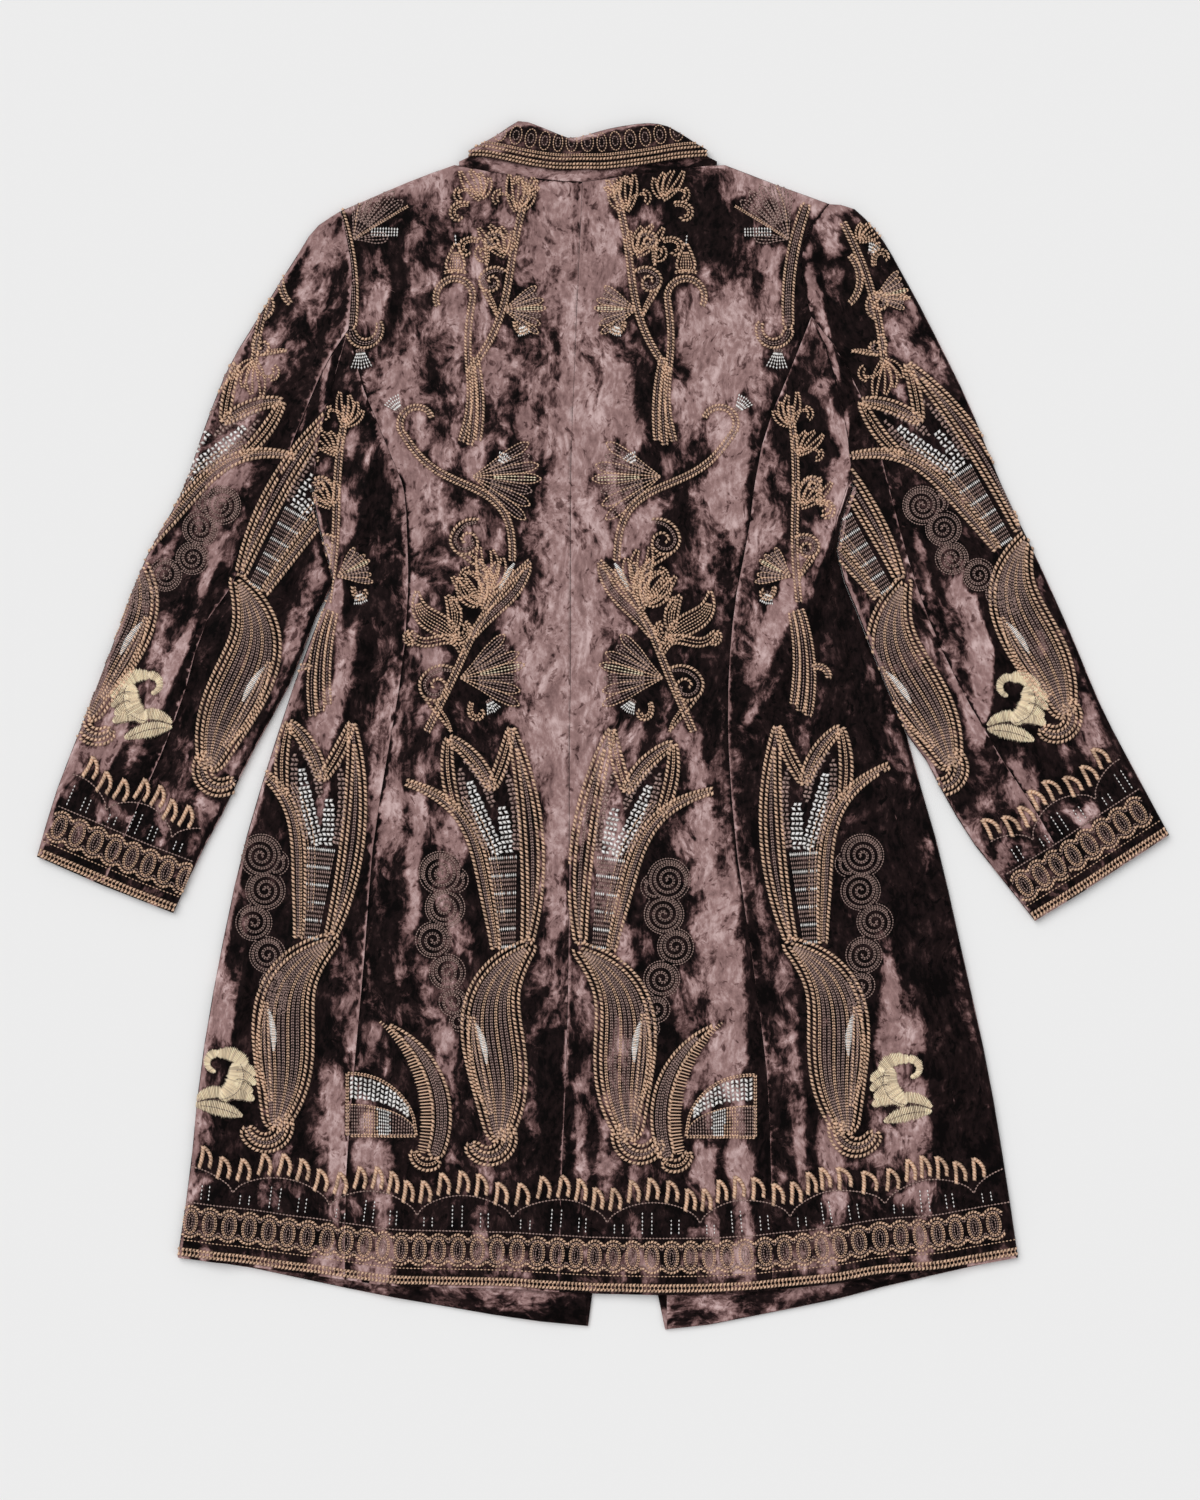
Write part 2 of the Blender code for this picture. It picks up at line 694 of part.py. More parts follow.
def front_left(colour):
    """Left front, from the seam underneath to the opening."""
    outer = join(left_under_seam(), armhole("left")[:-END_STEPS][::-1])
    plan, rolled = front_sheet("left", outer, SEAM_GAP / 2)
    return sew("front_left", [lower(plan), rolled], colour)


def front_right(colour):
    """Right front: a strip on the upper side, the turned edge, and the whole front below."""
    line, ways, gaps = flank("right")
    seam = right_seam()
    rows = len(seam)
    hem = hem_line("back", line[0][0], seam[0][0], STRIP_COLUMNS)
    strip = wedge(hem, line[:rows], seam, gaps[:rows], SEAM_GAP / 2)
    rolled_side = half_turn(strip[:len(ways), 0], ways)
    outer = join(line, armhole("right")[:HEAD_STEPS + 1][::-1])
    all_gaps = np.concatenate([gaps, [SEAM_GAP / 2] * (len(outer) - len(gaps))])
    plan, rolled_top = front_sheet("right", outer, all_gaps)
    return sew("front_right", [upper(strip), rolled_side, lower(plan), rolled_top], colour)


def sleeve(side, colour):
    """A sleeve of two pieces, each turned over at one side, joined at a back and a front seam.

    The lines run from cuff to armhole, and each piece closes to a point on the armhole.
    """
    table = SLEEVES[side]
    holes = armhole(side)
    head = holes[:HEAD_STEPS + 1][::-1]
    under = holes[HEAD_STEPS:-1]
    inner = inner_edge(side)
    seam_path = Curve([(row.seam_x, row.seam_y) for row in table[1:]][::-1] + [holes[HEAD_STEPS]])
    inner_line, inner_ways = inset(inner, seam_path.even(len(inner) - 1))
    inner_line = np.concatenate([inner_line, under[::-1]])
    seam = seam_path.beside(inner_line)
    outer_path = Curve([(row.outer_x, row.outer_y) for row in table][::-1])
    outer = outer_path.beside(join(seam, head))
    outer_line, outer_ways = turn_ways(outer, join(seam, head), last=unit(holes[0] - holes[1]))
    outer_line[-1] = holes[0]
    front = front_seam(side, outer, inner, holes[FRONT_SEAM_STEP])
    half = SEAM_GAP / 2
    inner_gaps = np.array([0.0] * len(inner) + [half] * len(under))
    rows = len(front)
    upper_low = join(front, holes[:FRONT_SEAM_STEP + 1][::-1])
    parts = (
        ("upper", outer_line, outer_ways, 0.0, join(seam, head), outer_line, 0.0, upper_low),
        ("under", inner_line, inner_ways, inner_gaps, seam, inner_line[:rows], inner_gaps[:rows], front),
    )
    for part, line, ways, gaps, back, low_line, low_gaps, low_back in parts:
        cuff = straight(line[0], back[0], SLEEVE_COLUMNS)
        plan = wedge(cuff, line, back, gaps, half)
        low_cuff = straight(low_line[0], low_back[0], SLEEVE_COLUMNS)
        low_plan = wedge(low_cuff, low_line, low_back, low_gaps, half)
        rolled = half_turn(plan[:len(ways), 0], ways)
        sew("sleeve_" + side + "_" + part, [upper(plan), rolled, lower(low_plan)], colour)


def inner_edge(side):
    """Inner edge of a sleeve, from cuff to underarm."""
    low = Curve([(row.inner_x, row.inner_y) for row in SLEEVES[side] if row.inner_x is not None][::-1])
    crease = Curve(pairs(CREASE, side)[::-1]).even(CREASE_ROWS[side])
    line = join(low.even(SLEEVE_ROWS - CREASE_ROWS[side]), crease)
    line[:, 0] += -CREASE_GAP if side == "left" else CREASE_GAP
    return line


def front_seam(side, outer, inner, top):
    """The sleeve's front seam, on the underside: half way across, then up to the armhole."""
    rows = SLEEVE_ROWS + len(armhole(side)) - FRONT_SEAM_STEP - 1
    middle = (outer[:SLEEVE_ROWS // 2] + inner[:SLEEVE_ROWS // 2]) / 2
    return Curve(list(middle) + [top]).even(rows)


def straight(start, end, steps):
    share = np.linspace(0.0, 1.0, steps + 1)[:, None]
    return start * (1 - share) + end * share


def collar_fall(colour):
    """The fall, turned over the stand along the top and lying on it."""
    top_z = FALL_REST + COLLAR_CLOTH
    low_z = LAY - COLLAR_CLOTH - SEAM_GAP - COLLAR_CLOTH
    radius_out = (top_z - low_z) / 2
    x = np.linspace(FALL_ENDS[0], FALL_ENDS[1], COLLAR_COLUMNS + 1)
    fold = np.stack([x, height_at(COLLAR, "fold", x)], axis=1)
    edge = np.stack([x, height_at(COLLAR, "edge", x)], axis=1)
    inward = normals(fold, edge - fold)
    line = fold + inward * radius_out
    share = np.linspace(0.0, 1.0, FALL_ROWS + 1)[:, None, None]
    leaf = edge[None] * (1 - share) + line[None] * share
    outer = []
    inner = []
    for step in range(TURN_STEPS + 1):
        angle = math.pi * step / TURN_STEPS
        for faces, radius in ((outer, radius_out), (inner, radius_out - COLLAR_CLOTH)):
            place = line - inward * radius * math.sin(angle)
            faces.append(at_height(place, top_z - radius_out + radius * math.cos(angle)))
    back = np.stack([line, line + inward * FALL_RETURN])
    stretches = [
        (at_height(leaf, top_z), at_height(leaf, top_z - COLLAR_CLOTH)),
        (np.stack(outer), np.stack(inner)),
        (at_height(back, low_z), at_height(back, low_z + COLLAR_CLOTH)),
    ]
    return sew("collar_fall", stretches, colour)


def collar_stand(colour):
    """The stand, sewn to the back neck and standing up under the fall."""
    sewn = join(back_neck("left", BACK_COLUMNS[1]), back_neck("right", BACK_COLUMNS[1])[::-1])
    x = np.clip(sewn[:, 0], STAND_ENDS[0], STAND_ENDS[1])
    neck = np.interp(x, sewn[:, 0], sewn[:, 1]) + SEAM_GAP / 2
    top = np.maximum(height_at(COLLAR, "fold", x) - STAND_DROP, neck + STAND_LEAST)
    plan = np.stack([np.stack([x, y], axis=1) for y in (neck, (neck + top) / 2, top)])
    return sew("collar_stand", [(at_height(plan, LAY), at_height(plan, LAY - COLLAR_CLOTH))], colour)


def collar_front(side, colour):
    """The collar round half of the front neck, plain and flat underneath."""
    outer = front_neck(side, FRONT_COLUMNS[1], SEAM_GAP / 2)
    inner = front_neck(side, FRONT_COLUMNS[1], FRONT_COLLAR_WIDTH)
    plan = np.stack([outer, (outer + inner) / 2, inner])
    return sew("collar_front_" + side, [(at_height(plan, 0.0), at_height(plan, COLLAR_CLOTH))], colour)


def hem_facing(side, colour):
    """The velvet facing inside a front's hem, which shows below the back."""
    start, end = FACING_ENDS[side]
    x = np.linspace(start, end, FACING_STEPS + 1)
    foot = height_at(HEM, "front", x) + FACING_TUCK
    low = np.stack([x, foot], axis=1)
    high = np.stack([x, foot + FACING_DEPTH], axis=1)
    plan = np.stack([low, (low + high) / 2, high])
    rest = CLOTH + SEAM_GAP
    return sew("hem_facing_" + side, [(at_height(plan, rest + FACING_WALL), at_height(plan, rest))], colour)


def build():
    for item in list(bpy.data.objects):
        bpy.data.objects.remove(item, do_unlink=True)
    body = velvet("crushed_velvet", VELVET)
    trim = velvet("collar_velvet", COLLAR_VELVET)
    facing = velvet("facing_velvet", FACING_VELVET)
    for side in ("left", "right"):
        back_centre(side, body)
        sleeve(side, body)
        collar_front(side, trim)
        hem_facing(side, facing)
    side_back_left(body)
    side_back_right(body)
    front_left(body)
    front_right(body)
    collar_stand(trim)
    collar_fall(trim)


build()
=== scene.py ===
"""An embroidered coat of crushed velvet laid flat, its back uppermost, on a plain pale floor.

The cloth pieces are the frame's own, divided finely and laid again in their folds. Stitches are grains set
side by side along drawn lines, dropped onto the cloth. X runs to the wearer's right, Y from hem to collar,
Z up, and the tables are in millimetres.
"""

from collections import namedtuple
import math

import bmesh
import bpy
import numpy as np
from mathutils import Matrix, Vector, noise
from mathutils.bvhtree import BVHTree


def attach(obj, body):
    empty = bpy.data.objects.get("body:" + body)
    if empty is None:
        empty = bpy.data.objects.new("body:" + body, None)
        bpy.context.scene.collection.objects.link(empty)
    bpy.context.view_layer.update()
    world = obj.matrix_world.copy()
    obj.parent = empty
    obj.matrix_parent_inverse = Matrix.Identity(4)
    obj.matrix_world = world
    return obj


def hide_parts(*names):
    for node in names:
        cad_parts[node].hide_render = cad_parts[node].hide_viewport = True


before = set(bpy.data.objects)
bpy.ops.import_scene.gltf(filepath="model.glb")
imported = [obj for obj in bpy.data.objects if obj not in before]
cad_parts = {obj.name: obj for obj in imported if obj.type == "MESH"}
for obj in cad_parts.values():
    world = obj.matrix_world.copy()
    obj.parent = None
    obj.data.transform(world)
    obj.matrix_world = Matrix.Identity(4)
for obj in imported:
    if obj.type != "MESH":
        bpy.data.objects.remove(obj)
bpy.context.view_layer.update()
bpy.ops.object.select_all(action="DESELECT")

MM = 0.001

# Lay of the cloth, as in the frame
CLOTH = 2.5
LAY = 6.6
TURN = LAY / 2
MERGE = 0.00002              # metres
FINE_STEP = 6.4              # longest edge on the upper layer
COARSE_STEP = 30.0
SPLIT_ROUNDS = 6             # how often an edge is halved at most
LAYER_ROUNDS = 4             # how often the share of the upper layer is found anew
LAYER_SLACK = 0.2            # how far below a layer a place still counts as on it
SEAM_ROUNDING = 0.0009       # metres
SEAM_SEGMENTS = 2
SEAM_ANGLE = math.radians(60)
SHARP = math.radians(50)

# Where the cloth turns from the upper layer to the lower one
LOWER_TOP = CLOTH
UPPER_FOOT = LAY - CLOTH

Fold = namedtuple("Fold", "x0 y0 x1 y1 x2 y2 width height")
FOLDS = [Fold(*row) for row in (
    (184, 300, 205, 271, 222, 240, 12, 4.0), (222, 240, 190, 146, 128, 12, 15, 6.0),
    (285, 179, 335, 74, 332, -30, 14, 5.0), (345, 22, 380, -56, 411, -134, 14, 3.5),
    (241, 370, 284, 283, 311, 196, 20, 4.0), (-264, 344, -307, 240, -338, 144, 20, 4.0),
    (-242, 214, -281, 144, -316, 74, 14, 4.0), (-359, 74, -394, -13, -429, -100, 15, 3.0),
    (-311, -204, -329, -326, -338, -600, 16, 4.0), (-264, -152, -272, -308, -277, -600, 18, 3.0),
    (-181, -239, -181, -369, -181, -600, 20, 3.5), (-107, -30, -116, -195, -120, -326, 22, 3.0),
    (-50, -282, -54, -404, -56, -600, 16, 3.0), (41, -308, 45, -404, 50, -600, 22, 3.0),
    (106, -134, 124, -282, 137, -600, 14, 4.5), (197, -239, 210, -369, 215, -600, 18, 3.5),
    (263, -195, 284, -326, 293, -600, 16, 4.0), (-159, 144, -142, 74, -129, 5, 18, 3.0),
    (32, 283, 41, 179, 45, 74, 22, 2.5), (-207, 109, -224, 22, -255, -82, 14, 3.5),
)]

# Small creases and hollows that lie between the folds
CREASES = [Fold(*row) for row in (
    (180, 402, 196, 350, 214, 276, 4.5, 2.2), (214, 276, 214, 240, 216, 214, 5, 2.6),
    (216, 214, 196, 150, 176, 80, 6, 2.6), (176, 80, 150, 30, 118, -8, 6, 2.0),
    (310, 118, 338, 70, 342, -10, 5, 2.4), (335, 74, 334, 20, 332, -30, 5, 2.2),
    (246, 330, 262, 290, 290, 240, 6, 1.6), (262, 200, 280, 150, 292, 90, 5, 1.5),
    (300, 60, 318, 20, 340, -30, 5, 1.5), (372, 40, 398, -10, 420, -70, 6, 1.8),
    (-250, 300, -262, 240, -276, 190, 5, 1.8), (-236, 330, -240, 280, -250, 226, 5, 2.0),
    (-262, 150, -290, 90, -320, 30, 5, 2.0), (-330, 160, -352, 90, -380, 20, 6, 1.6),
    (-400, 40, -420, -20, -446, -80, 6, 1.5), (-210, 180, -222, 130, -226, 60, 6, 2.0),
    (-196, 250, -206, 200, -212, 150, 6, 1.6), (-232, -10, -240, -80, -262, -160, 6, 1.8),
    (-300, -120, -310, -210, -322, -300, 6, 1.6), (-150, -20, -158, -120, -156, -220, 7, 1.3),
    (-84, -100, -88, -190, -92, -290, 7, 1.3), (-222, -300, -226, -380, -228, -460, 6, 1.6),
    (-96, -330, -98, -400, -98, -480, 6, 1.5), (-16, -330, -14, -400, -12, -480, 6, 1.5),
    (92, -300, 98, -380, 102, -480, 6, 1.7), (168, -230, 176, -330, 182, -450, 7, 1.6),
    (240, -140, 254, -220, 262, -320, 6, 1.8), (300, -260, 312, -350, 322, -440, 6, 1.6),
    (84, 40, 92, -60, 104, -150, 7, 1.5), (60, 250, 66, 160, 70, 60, 8, 1.2),
    (120, 320, 124, 240, 120, 150, 8, 1.3), (-110, 330, -104, 240, -108, 130, 8, 1.2),
    (-60, 380, -62, 300, -58, 200, 8, 1.0), (150, 420, 156, 380, 168, 330, 7, 1.5),
    (-190, 420, -186, 380, -196, 320, 7, 1.5), (20, -60, 22, -150, 26, -230, 8, 1.2),
)]
FOLD_STEPS = 10
FOLD_REACH = 3               # how many widths beside its spine a fold ends
FOLD_FADE = 0.22             # share of a fold's length over which it rises and dies

# Gathers of each sleeve head
HEAD_LINE = {
    "left": [(-228, 447), (-223, 426), (-218, 392), (-219, 366), (-221, 344)],
    "right": [(197, 453), (181, 435), (173, 409), (174, 384), (181, 355)],
}
GATHERS = 5
GATHER_PITCH = 19.0
GATHER_LENGTH = 46.0
GATHER_WIDTH = 6.0
GATHER_HEIGHT = 2.4
GATHER_LOW = 0.7             # height of every other one
GATHER_TURN = 52             # way of the first one, in degrees
GATHER_SPREAD = 17           # turn from each to the next
GATHER_RISE = 0.35
GATHER_FALL = 0.25
GATHER_SHARES = (0.7, 0.15, 0.5, 0.2, 0.4, 0.9, 0.6, 1.0, 0.5, 0.8)

# The way the pile of each piece runs, in degrees from straight down
PILE_WAY = {
    "back_left": 0, "back_right": 0, "side_back_left": -6, "side_back_right": 8,
    "front_left": 0, "front_right": 8,
    "sleeve_left_upper": -27, "sleeve_left_under": -24, "sleeve_right_upper": 30, "sleeve_right_under": 27,
    "collar_stand": 90, "collar_fall": 90, "collar_front_left": 0, "collar_front_right": 0,
    "hem_facing_left": 90, "hem_facing_right": 90,
}

# Light and dark areas of the pile: centre, half width, half height, turn in degrees, and how light
Zone = namedtuple("Zone", "x y wide tall turn light")
ZONES = [Zone(*row) for row in (
    (-18, 330, 60, 160, 0, 0.42), (-20, 60, 32, 120, 2, 0.62), (-40, -60, 34, 120, 6, 0.45),
    (98, 330, 34, 90, -4, 0.52), (112, 210, 30, 80, 6, 0.42), (62, 470, 46, 30, 0, -0.30),
    (96, 420, 36, 50, 20, -0.75), (146, 392, 18, 60, 0, 0.25), (158, 460, 40, 12, -18, 0.55),
    (-190, 462, 50, 12, 20, 0.55), (-160, 400, 40, 50, 0, -0.10), (-120, 360, 26, 60, 0, 0.40),
    (-190, 300, 26, 50, 0, 0.20), (-60, 470, 60, 14, 0, 0.25), (-70, 330, 16, 60, 0, -0.35),
    (36, 320, 14, 70, 0, -0.30), (-150, 190, 34, 90, 6, 0.12), (-92, 180, 26, 90, 0, 0.15),
    (-62, 120, 20, 90, 0, -0.28), (52, 130, 26, 90, 0, -0.12), (86, 90, 22, 80, -8, 0.10),
    (176, 250, 26, 46, 0, -0.60), (196, 120, 22, 110, 14, -0.50), (150, 40, 26, 90, 10, -0.18),
    (-205, 190, 18, 110, -2, -0.30), (-196, 30, 26, 90, -4, -0.25), (-226, -40, 18, 90, -6, -0.10),
    (-150, -80, 30, 110, -2, 0.12), (-100, -130, 20, 120, 0, -0.65), (-128, -180, 18, 90, 0, 0.30),
    (40, -120, 22, 120, 0, -0.50), (10, -230, 28, 110, 0, 0.30), (82, -90, 26, 100, 6, 0.05),
    (128, -60, 26, 120, 10, -0.60), (104, -230, 30, 90, 0, 0.20), (196, -180, 34, 130, 8, -0.62),
    (232, -60, 26, 120, 10, -0.65), (286, -220, 24, 150, 12, -0.62), (250, -300, 18, 70, 8, 0.10),
    (-300, -220, 26, 160, -8, -0.65), (-250, -220, 24, 130, -4, -0.40), (-220, -330, 20, 80, 0, 0.20),
    (-180, -290, 26, 110, 0, -0.45), (-60, -340, 30, 90, 0, -0.40), (60, -360, 30, 60, 0, -0.10),
    (160, -360, 30, 70, 4, -0.30), (-330, -380, 26, 70, -4, -0.50), (330, -390, 26, 70, 6, -0.55),
    (-20, -425, 400, 12, 0, -0.35), (-20, -466, 400, 12, 0, 0.40), (-300, 300, 26, 100, -24, 0.10),
    (-268, 250, 18, 90, -20, -0.55), (-330, 190, 26, 80, -26, 0.30), (-300, 110, 26, 90, -26, -0.50),
    (-372, 90, 26, 80, -26, -0.35), (-410, 60, 14, 90, -22, 0.40), (-380, -20, 30, 70, -28, -0.15),
    (-440, -84, 66, 16, 28, 0.45), (-420, -50, 66, 20, 28, -0.40), (-250, 370, 18, 40, -24, -0.10),
    (252, 380, 26, 50, 24, -0.35), (270, 330, 26, 50, 24, 0.30), (236, 250, 20, 90, 16, -0.35),
    (280, 250, 22, 80, 24, -0.25), (316, 200, 26, 60, 26, 0.05), (290, 120, 26, 90, 26, -0.12),
    (352, 100, 26, 90, 28, -0.10), (392, 60, 14, 90, 26, 0.25), (380, -30, 34, 60, 28, -0.20),
    (436, -90, 66, 16, -28, 0.35), (412, -48, 66, 20, -28, -0.30), (-20, 500, 130, 20, 0, 0.30),
    (0, -510, 400, 12, 0, -0.10),
)]

ZONE_POWER = 2.5             # the higher, the flatter the middle of a zone

# Painted light and shade: the pile is painted lighter where the cloth slopes left or towards the collar, and
# darker where it slopes the other way
PAINTED_SLOPE_LIGHT = np.array((-2.4, 1.4, 0.0))
PAINTED_SLOPE_MOST = 0.9
PAINTED_SLOPE_FACING = 0.5           # least upward share of a slope that counts

# Crumple of the cloth between its folds: height, and size across and along
Crumple = namedtuple("Crumple", "height across along seed")
CRUMPLES = [Crumple(1.0, 34.0, 60.0, 3.0), Crumple(0.55, 14.0, 30.0, 11.0)]

# Pile darkened around the stitches
HALO_REACH = np.array((520.0, 560.0))
HALO_CELL = 4.0
HALO_DARK = 0.42
HALO_SPREAD = 1.6

# Camera: straight above, so that the frame takes in 1.044 by 1.305 metres
CAMERA_PLACE = (-0.0026, -0.0213, 3.081)
LENS = 85.0
SENSOR = 36.0

# Lamps: where each stands, and its strength
LAMPS = {"window": ((-1.1, 1.3, 2.4), 1.75), "far_window": ((1.6, -0.8, 2.0), 0.35)}
LAMP_ANGLE = math.radians(50)
ROOM_LIGHT = 0.42

FLOOR_SIZE = 60.0
FLOOR_DROP = 0.0004
FLOOR_GREY = 0.88


# Fine steps of a curve from each of its points to the next, and the least length that is divided by
CURVE_STEPS = 16
TINY = 1e-9


class Curve:
    """A smooth curve through its points, walked by length."""

    def __init__(self, points):
        through = np.array(points, float)
        reach = np.concatenate([[0.0], np.cumsum(np.linalg.norm(np.diff(through, axis=0), axis=1))])
        slope = np.gradient(through, reach, axis=0)
        fine = np.linspace(0.0, reach[-1], CURVE_STEPS * len(through))
        span = np.clip(np.searchsorted(reach, fine, side="right") - 1, 0, len(through) - 2)
        width = (reach[span + 1] - reach[span])[:, None]
        u = (fine - reach[span])[:, None] / width
        self.points = (through[span] * (2 * u**3 - 3 * u**2 + 1)
                       + slope[span] * width * (u**3 - 2 * u**2 + u)
                       + through[span + 1] * (3 * u**2 - 2 * u**3)
                       + slope[span + 1] * width * (u**3 - u**2))
        steps = np.linalg.norm(np.diff(self.points, axis=0), axis=1)
        self.reach = np.concatenate([[0.0], np.cumsum(steps)])
        self.length = self.reach[-1]

    def at(self, lengths):
        return np.stack([np.interp(lengths, self.reach, self.points[:, k]) for k in (0, 1)], axis=1)

    def even(self, steps):
        return self.at(np.linspace(0.0, self.length, steps + 1))

    def way(self, lengths, step):
        """The way it runs at some lengths, from a step before each to a step after it."""
        ahead = self.at(np.clip(lengths + step, 0, self.length))
        way = ahead - self.at(np.clip(lengths - step, 0, self.length))
        return way / np.maximum(np.linalg.norm(way, axis=1, keepdims=True), TINY)


def pairs(x, y):
    """Points, given what they have in x and in y."""
    return np.stack([x, y], axis=1)


def level(x, height):
    """Points that all lie at one height."""
    return pairs(x, np.full(len(x), height))


def ring(x, y, wide, tall, count):
    """Points round an oval, given its centre and half its width and height."""
    angle = np.linspace(0.0, 2 * math.pi, count)
    return pairs(x + wide * np.cos(angle), y + tall * np.sin(angle))


def leftward(way):
    return pairs(-way[:, 1], way[:, 0])


def ease(share):
    share = np.clip(share, 0.0, 1.0)
    return share * share * (3 - 2 * share)


def ridge(fold, x, y):
    """Height of one fold over the places x, y."""
    start = np.array((fold.x0, fold.y0), float)
    end = np.array((fold.x2, fold.y2), float)
    bend = 2 * np.array((fold.x1, fold.y1), float) - (start + end) / 2
    t = np.linspace(0.0, 1.0, FOLD_STEPS + 1)[:, None]
    spine = start * (1 - t)**2 + bend * 2 * t * (1 - t) + end * t**2
    reach = FOLD_REACH * fold.width
    near = ((x > spine[:, 0].min() - reach) & (x < spine[:, 0].max() + reach)
            & (y > spine[:, 1].min() - reach) & (y < spine[:, 1].max() + reach))
    found = np.zeros(np.shape(x))
    if not near.any():
        return found
    px, py = x[near], y[near]
    nearest = np.full(px.shape, np.inf)
    share = np.zeros(px.shape)
    for step in range(FOLD_STEPS):
        run = spine[step + 1] - spine[step]
        part = ((px - spine[step][0]) * run[0] + (py - spine[step][1]) * run[1]) / np.sum(run**2)
        held = np.clip(part, 0.0, 1.0)
        gap = np.hypot(px - spine[step][0] - held * run[0], py - spine[step][1] - held * run[1])
        closer = gap < nearest
        nearest = np.where(closer, gap, nearest)
        share = np.where(closer, (step + held) / FOLD_STEPS, share)
    fade = ease(share / FOLD_FADE) * ease((1 - share) / FOLD_FADE)
    found[near] = fold.height * fade * np.exp(-(nearest / fold.width)**2)
    return found


def gathers():
    """Short ridges that leave each armhole at the sleeve head."""
    found = []
    for side in ("left", "right"):
        line = Curve(HEAD_LINE[side])
        outward = -1.0 if side == "left" else 1.0
        for count in range(GATHERS):
            start = line.at([GATHER_PITCH * (count + 0.5)])[0]
            turn = math.radians(GATHER_TURN - GATHER_SPREAD * count)
            way = np.array((outward * math.cos(turn), math.sin(turn) * GATHER_RISE - GATHER_FALL))
            middle = start + way * GATHER_LENGTH / 2
            end = start + way * GATHER_LENGTH
            tall = GATHER_HEIGHT * (1.0 if count % 2 else GATHER_LOW)
            found.append(Fold(*start, *middle, *end, GATHER_WIDTH, tall))
    return found


def lift(folds, x, y):
    return sum(ridge(fold, x, y) for fold in folds)


def crumpled(x, y):
    """Small uneven rises and hollows all over the cloth."""
    rise = np.zeros(len(x))
    for form in CRUMPLES:
        rise += form.height * np.array([noise.noise((px / form.across, py / form.along, form.seed))
                                        for px, py in zip(x, y)])
    return rise


def upper_share(z):
    """1 on the upper layer, 0 on the lower, and between them on a turned side."""
    return ease((z - LOWER_TOP) / (UPPER_FOOT - LOWER_TOP))


def laid(name, node):
    """A piece of cloth: its solid smoothed flat, divided finely and laid again in its folds."""
    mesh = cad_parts[node].data.copy()
    mesh.name = name
    mesh.materials.clear()
    form = bmesh.new()
    form.from_mesh(mesh)
    bmesh.ops.remove_doubles(form, verts=form.verts, dist=MERGE)
    place = np.array([vert.co for vert in form.verts]) / MM
    raised = lift(FRAME_FOLDS, place[:, 0], place[:, 1])
    share = np.where(place[:, 2] - raised > TURN - LAYER_SLACK / 2, 1.0, 0.0)
    for _ in range(LAYER_ROUNDS):
        share = (share + upper_share(place[:, 2] - share * raised)) / 2
    flat = place[:, 2] - share * raised
    on_collar = node.startswith("collar")
    if not on_collar:
        for vert, z in zip(form.verts, flat):
            vert.co.z = z * MM
    for _ in range(SPLIT_ROUNDS):
        cut = []
        for edge in form.edges:
            high = max(edge.verts[0].co.z, edge.verts[1].co.z) / MM > UPPER_FOOT - LAYER_SLACK
            limit = FINE_STEP if high else COARSE_STEP
            if edge.calc_length() / MM > limit:
                cut.append(edge)
        if not cut:
            break
        bmesh.ops.subdivide_edges(form, edges=cut, cuts=1, use_grid_fill=False)
        many = [face for face in form.faces if len(face.verts) > 3]
        bmesh.ops.triangulate(form, faces=many)
    place = np.array([vert.co for vert in form.verts]) / MM
    if not on_collar:
        rise = lift(ALL_FOLDS, place[:, 0], place[:, 1]) + crumpled(place[:, 0], place[:, 1])
        rise *= upper_share(place[:, 2])
        for vert, more in zip(form.verts, rise):
            vert.co.z += more * MM
    form.to_mesh(mesh)
    form.free()
    piece = bpy.data.objects.new(name, mesh)
    bpy.context.collection.objects.link(piece)
    bpy.context.view_layer.objects.active = piece
    piece.select_set(True)
    bevel = piece.modifiers.new("seam_rounding", "BEVEL")
    bevel.width = SEAM_ROUNDING
    bevel.segments = SEAM_SEGMENTS
    bevel.limit_method = "ANGLE"
    bevel.angle_limit = SEAM_ANGLE
    bpy.ops.object.modifier_apply(modifier=bevel.name)
    bpy.ops.object.shade_smooth_by_angle(angle=SHARP)
    piece.select_set(False)
    return piece


def stitch_halo(ground):
    """Where stitches lie on a ground, spread a little: a grid of how much, from 0 to 1."""
    found = np.zeros((int(HALO_REACH[0] * 2 / HALO_CELL), int(HALO_REACH[1] * 2 / HALO_CELL)))
    for (_, _, sewn_ground, _), rows in work.rows.items():
        if sewn_ground == ground:
            cells = ((np.concatenate(rows)[:, :2] + HALO_REACH) / HALO_CELL).astype(int)
            inside = ((cells >= 0) & (cells < found.shape)).all(axis=1)
            np.add.at(found, tuple(cells[inside].T), 1.0)
    found = np.minimum(found, 1.0)
    for axis in (0, 1):
        found = (np.roll(found, 1, axis) + np.roll(found, -1, axis) + 2 * found) / 4
    return np.clip(found * HALO_SPREAD, 0.0, 1.0)


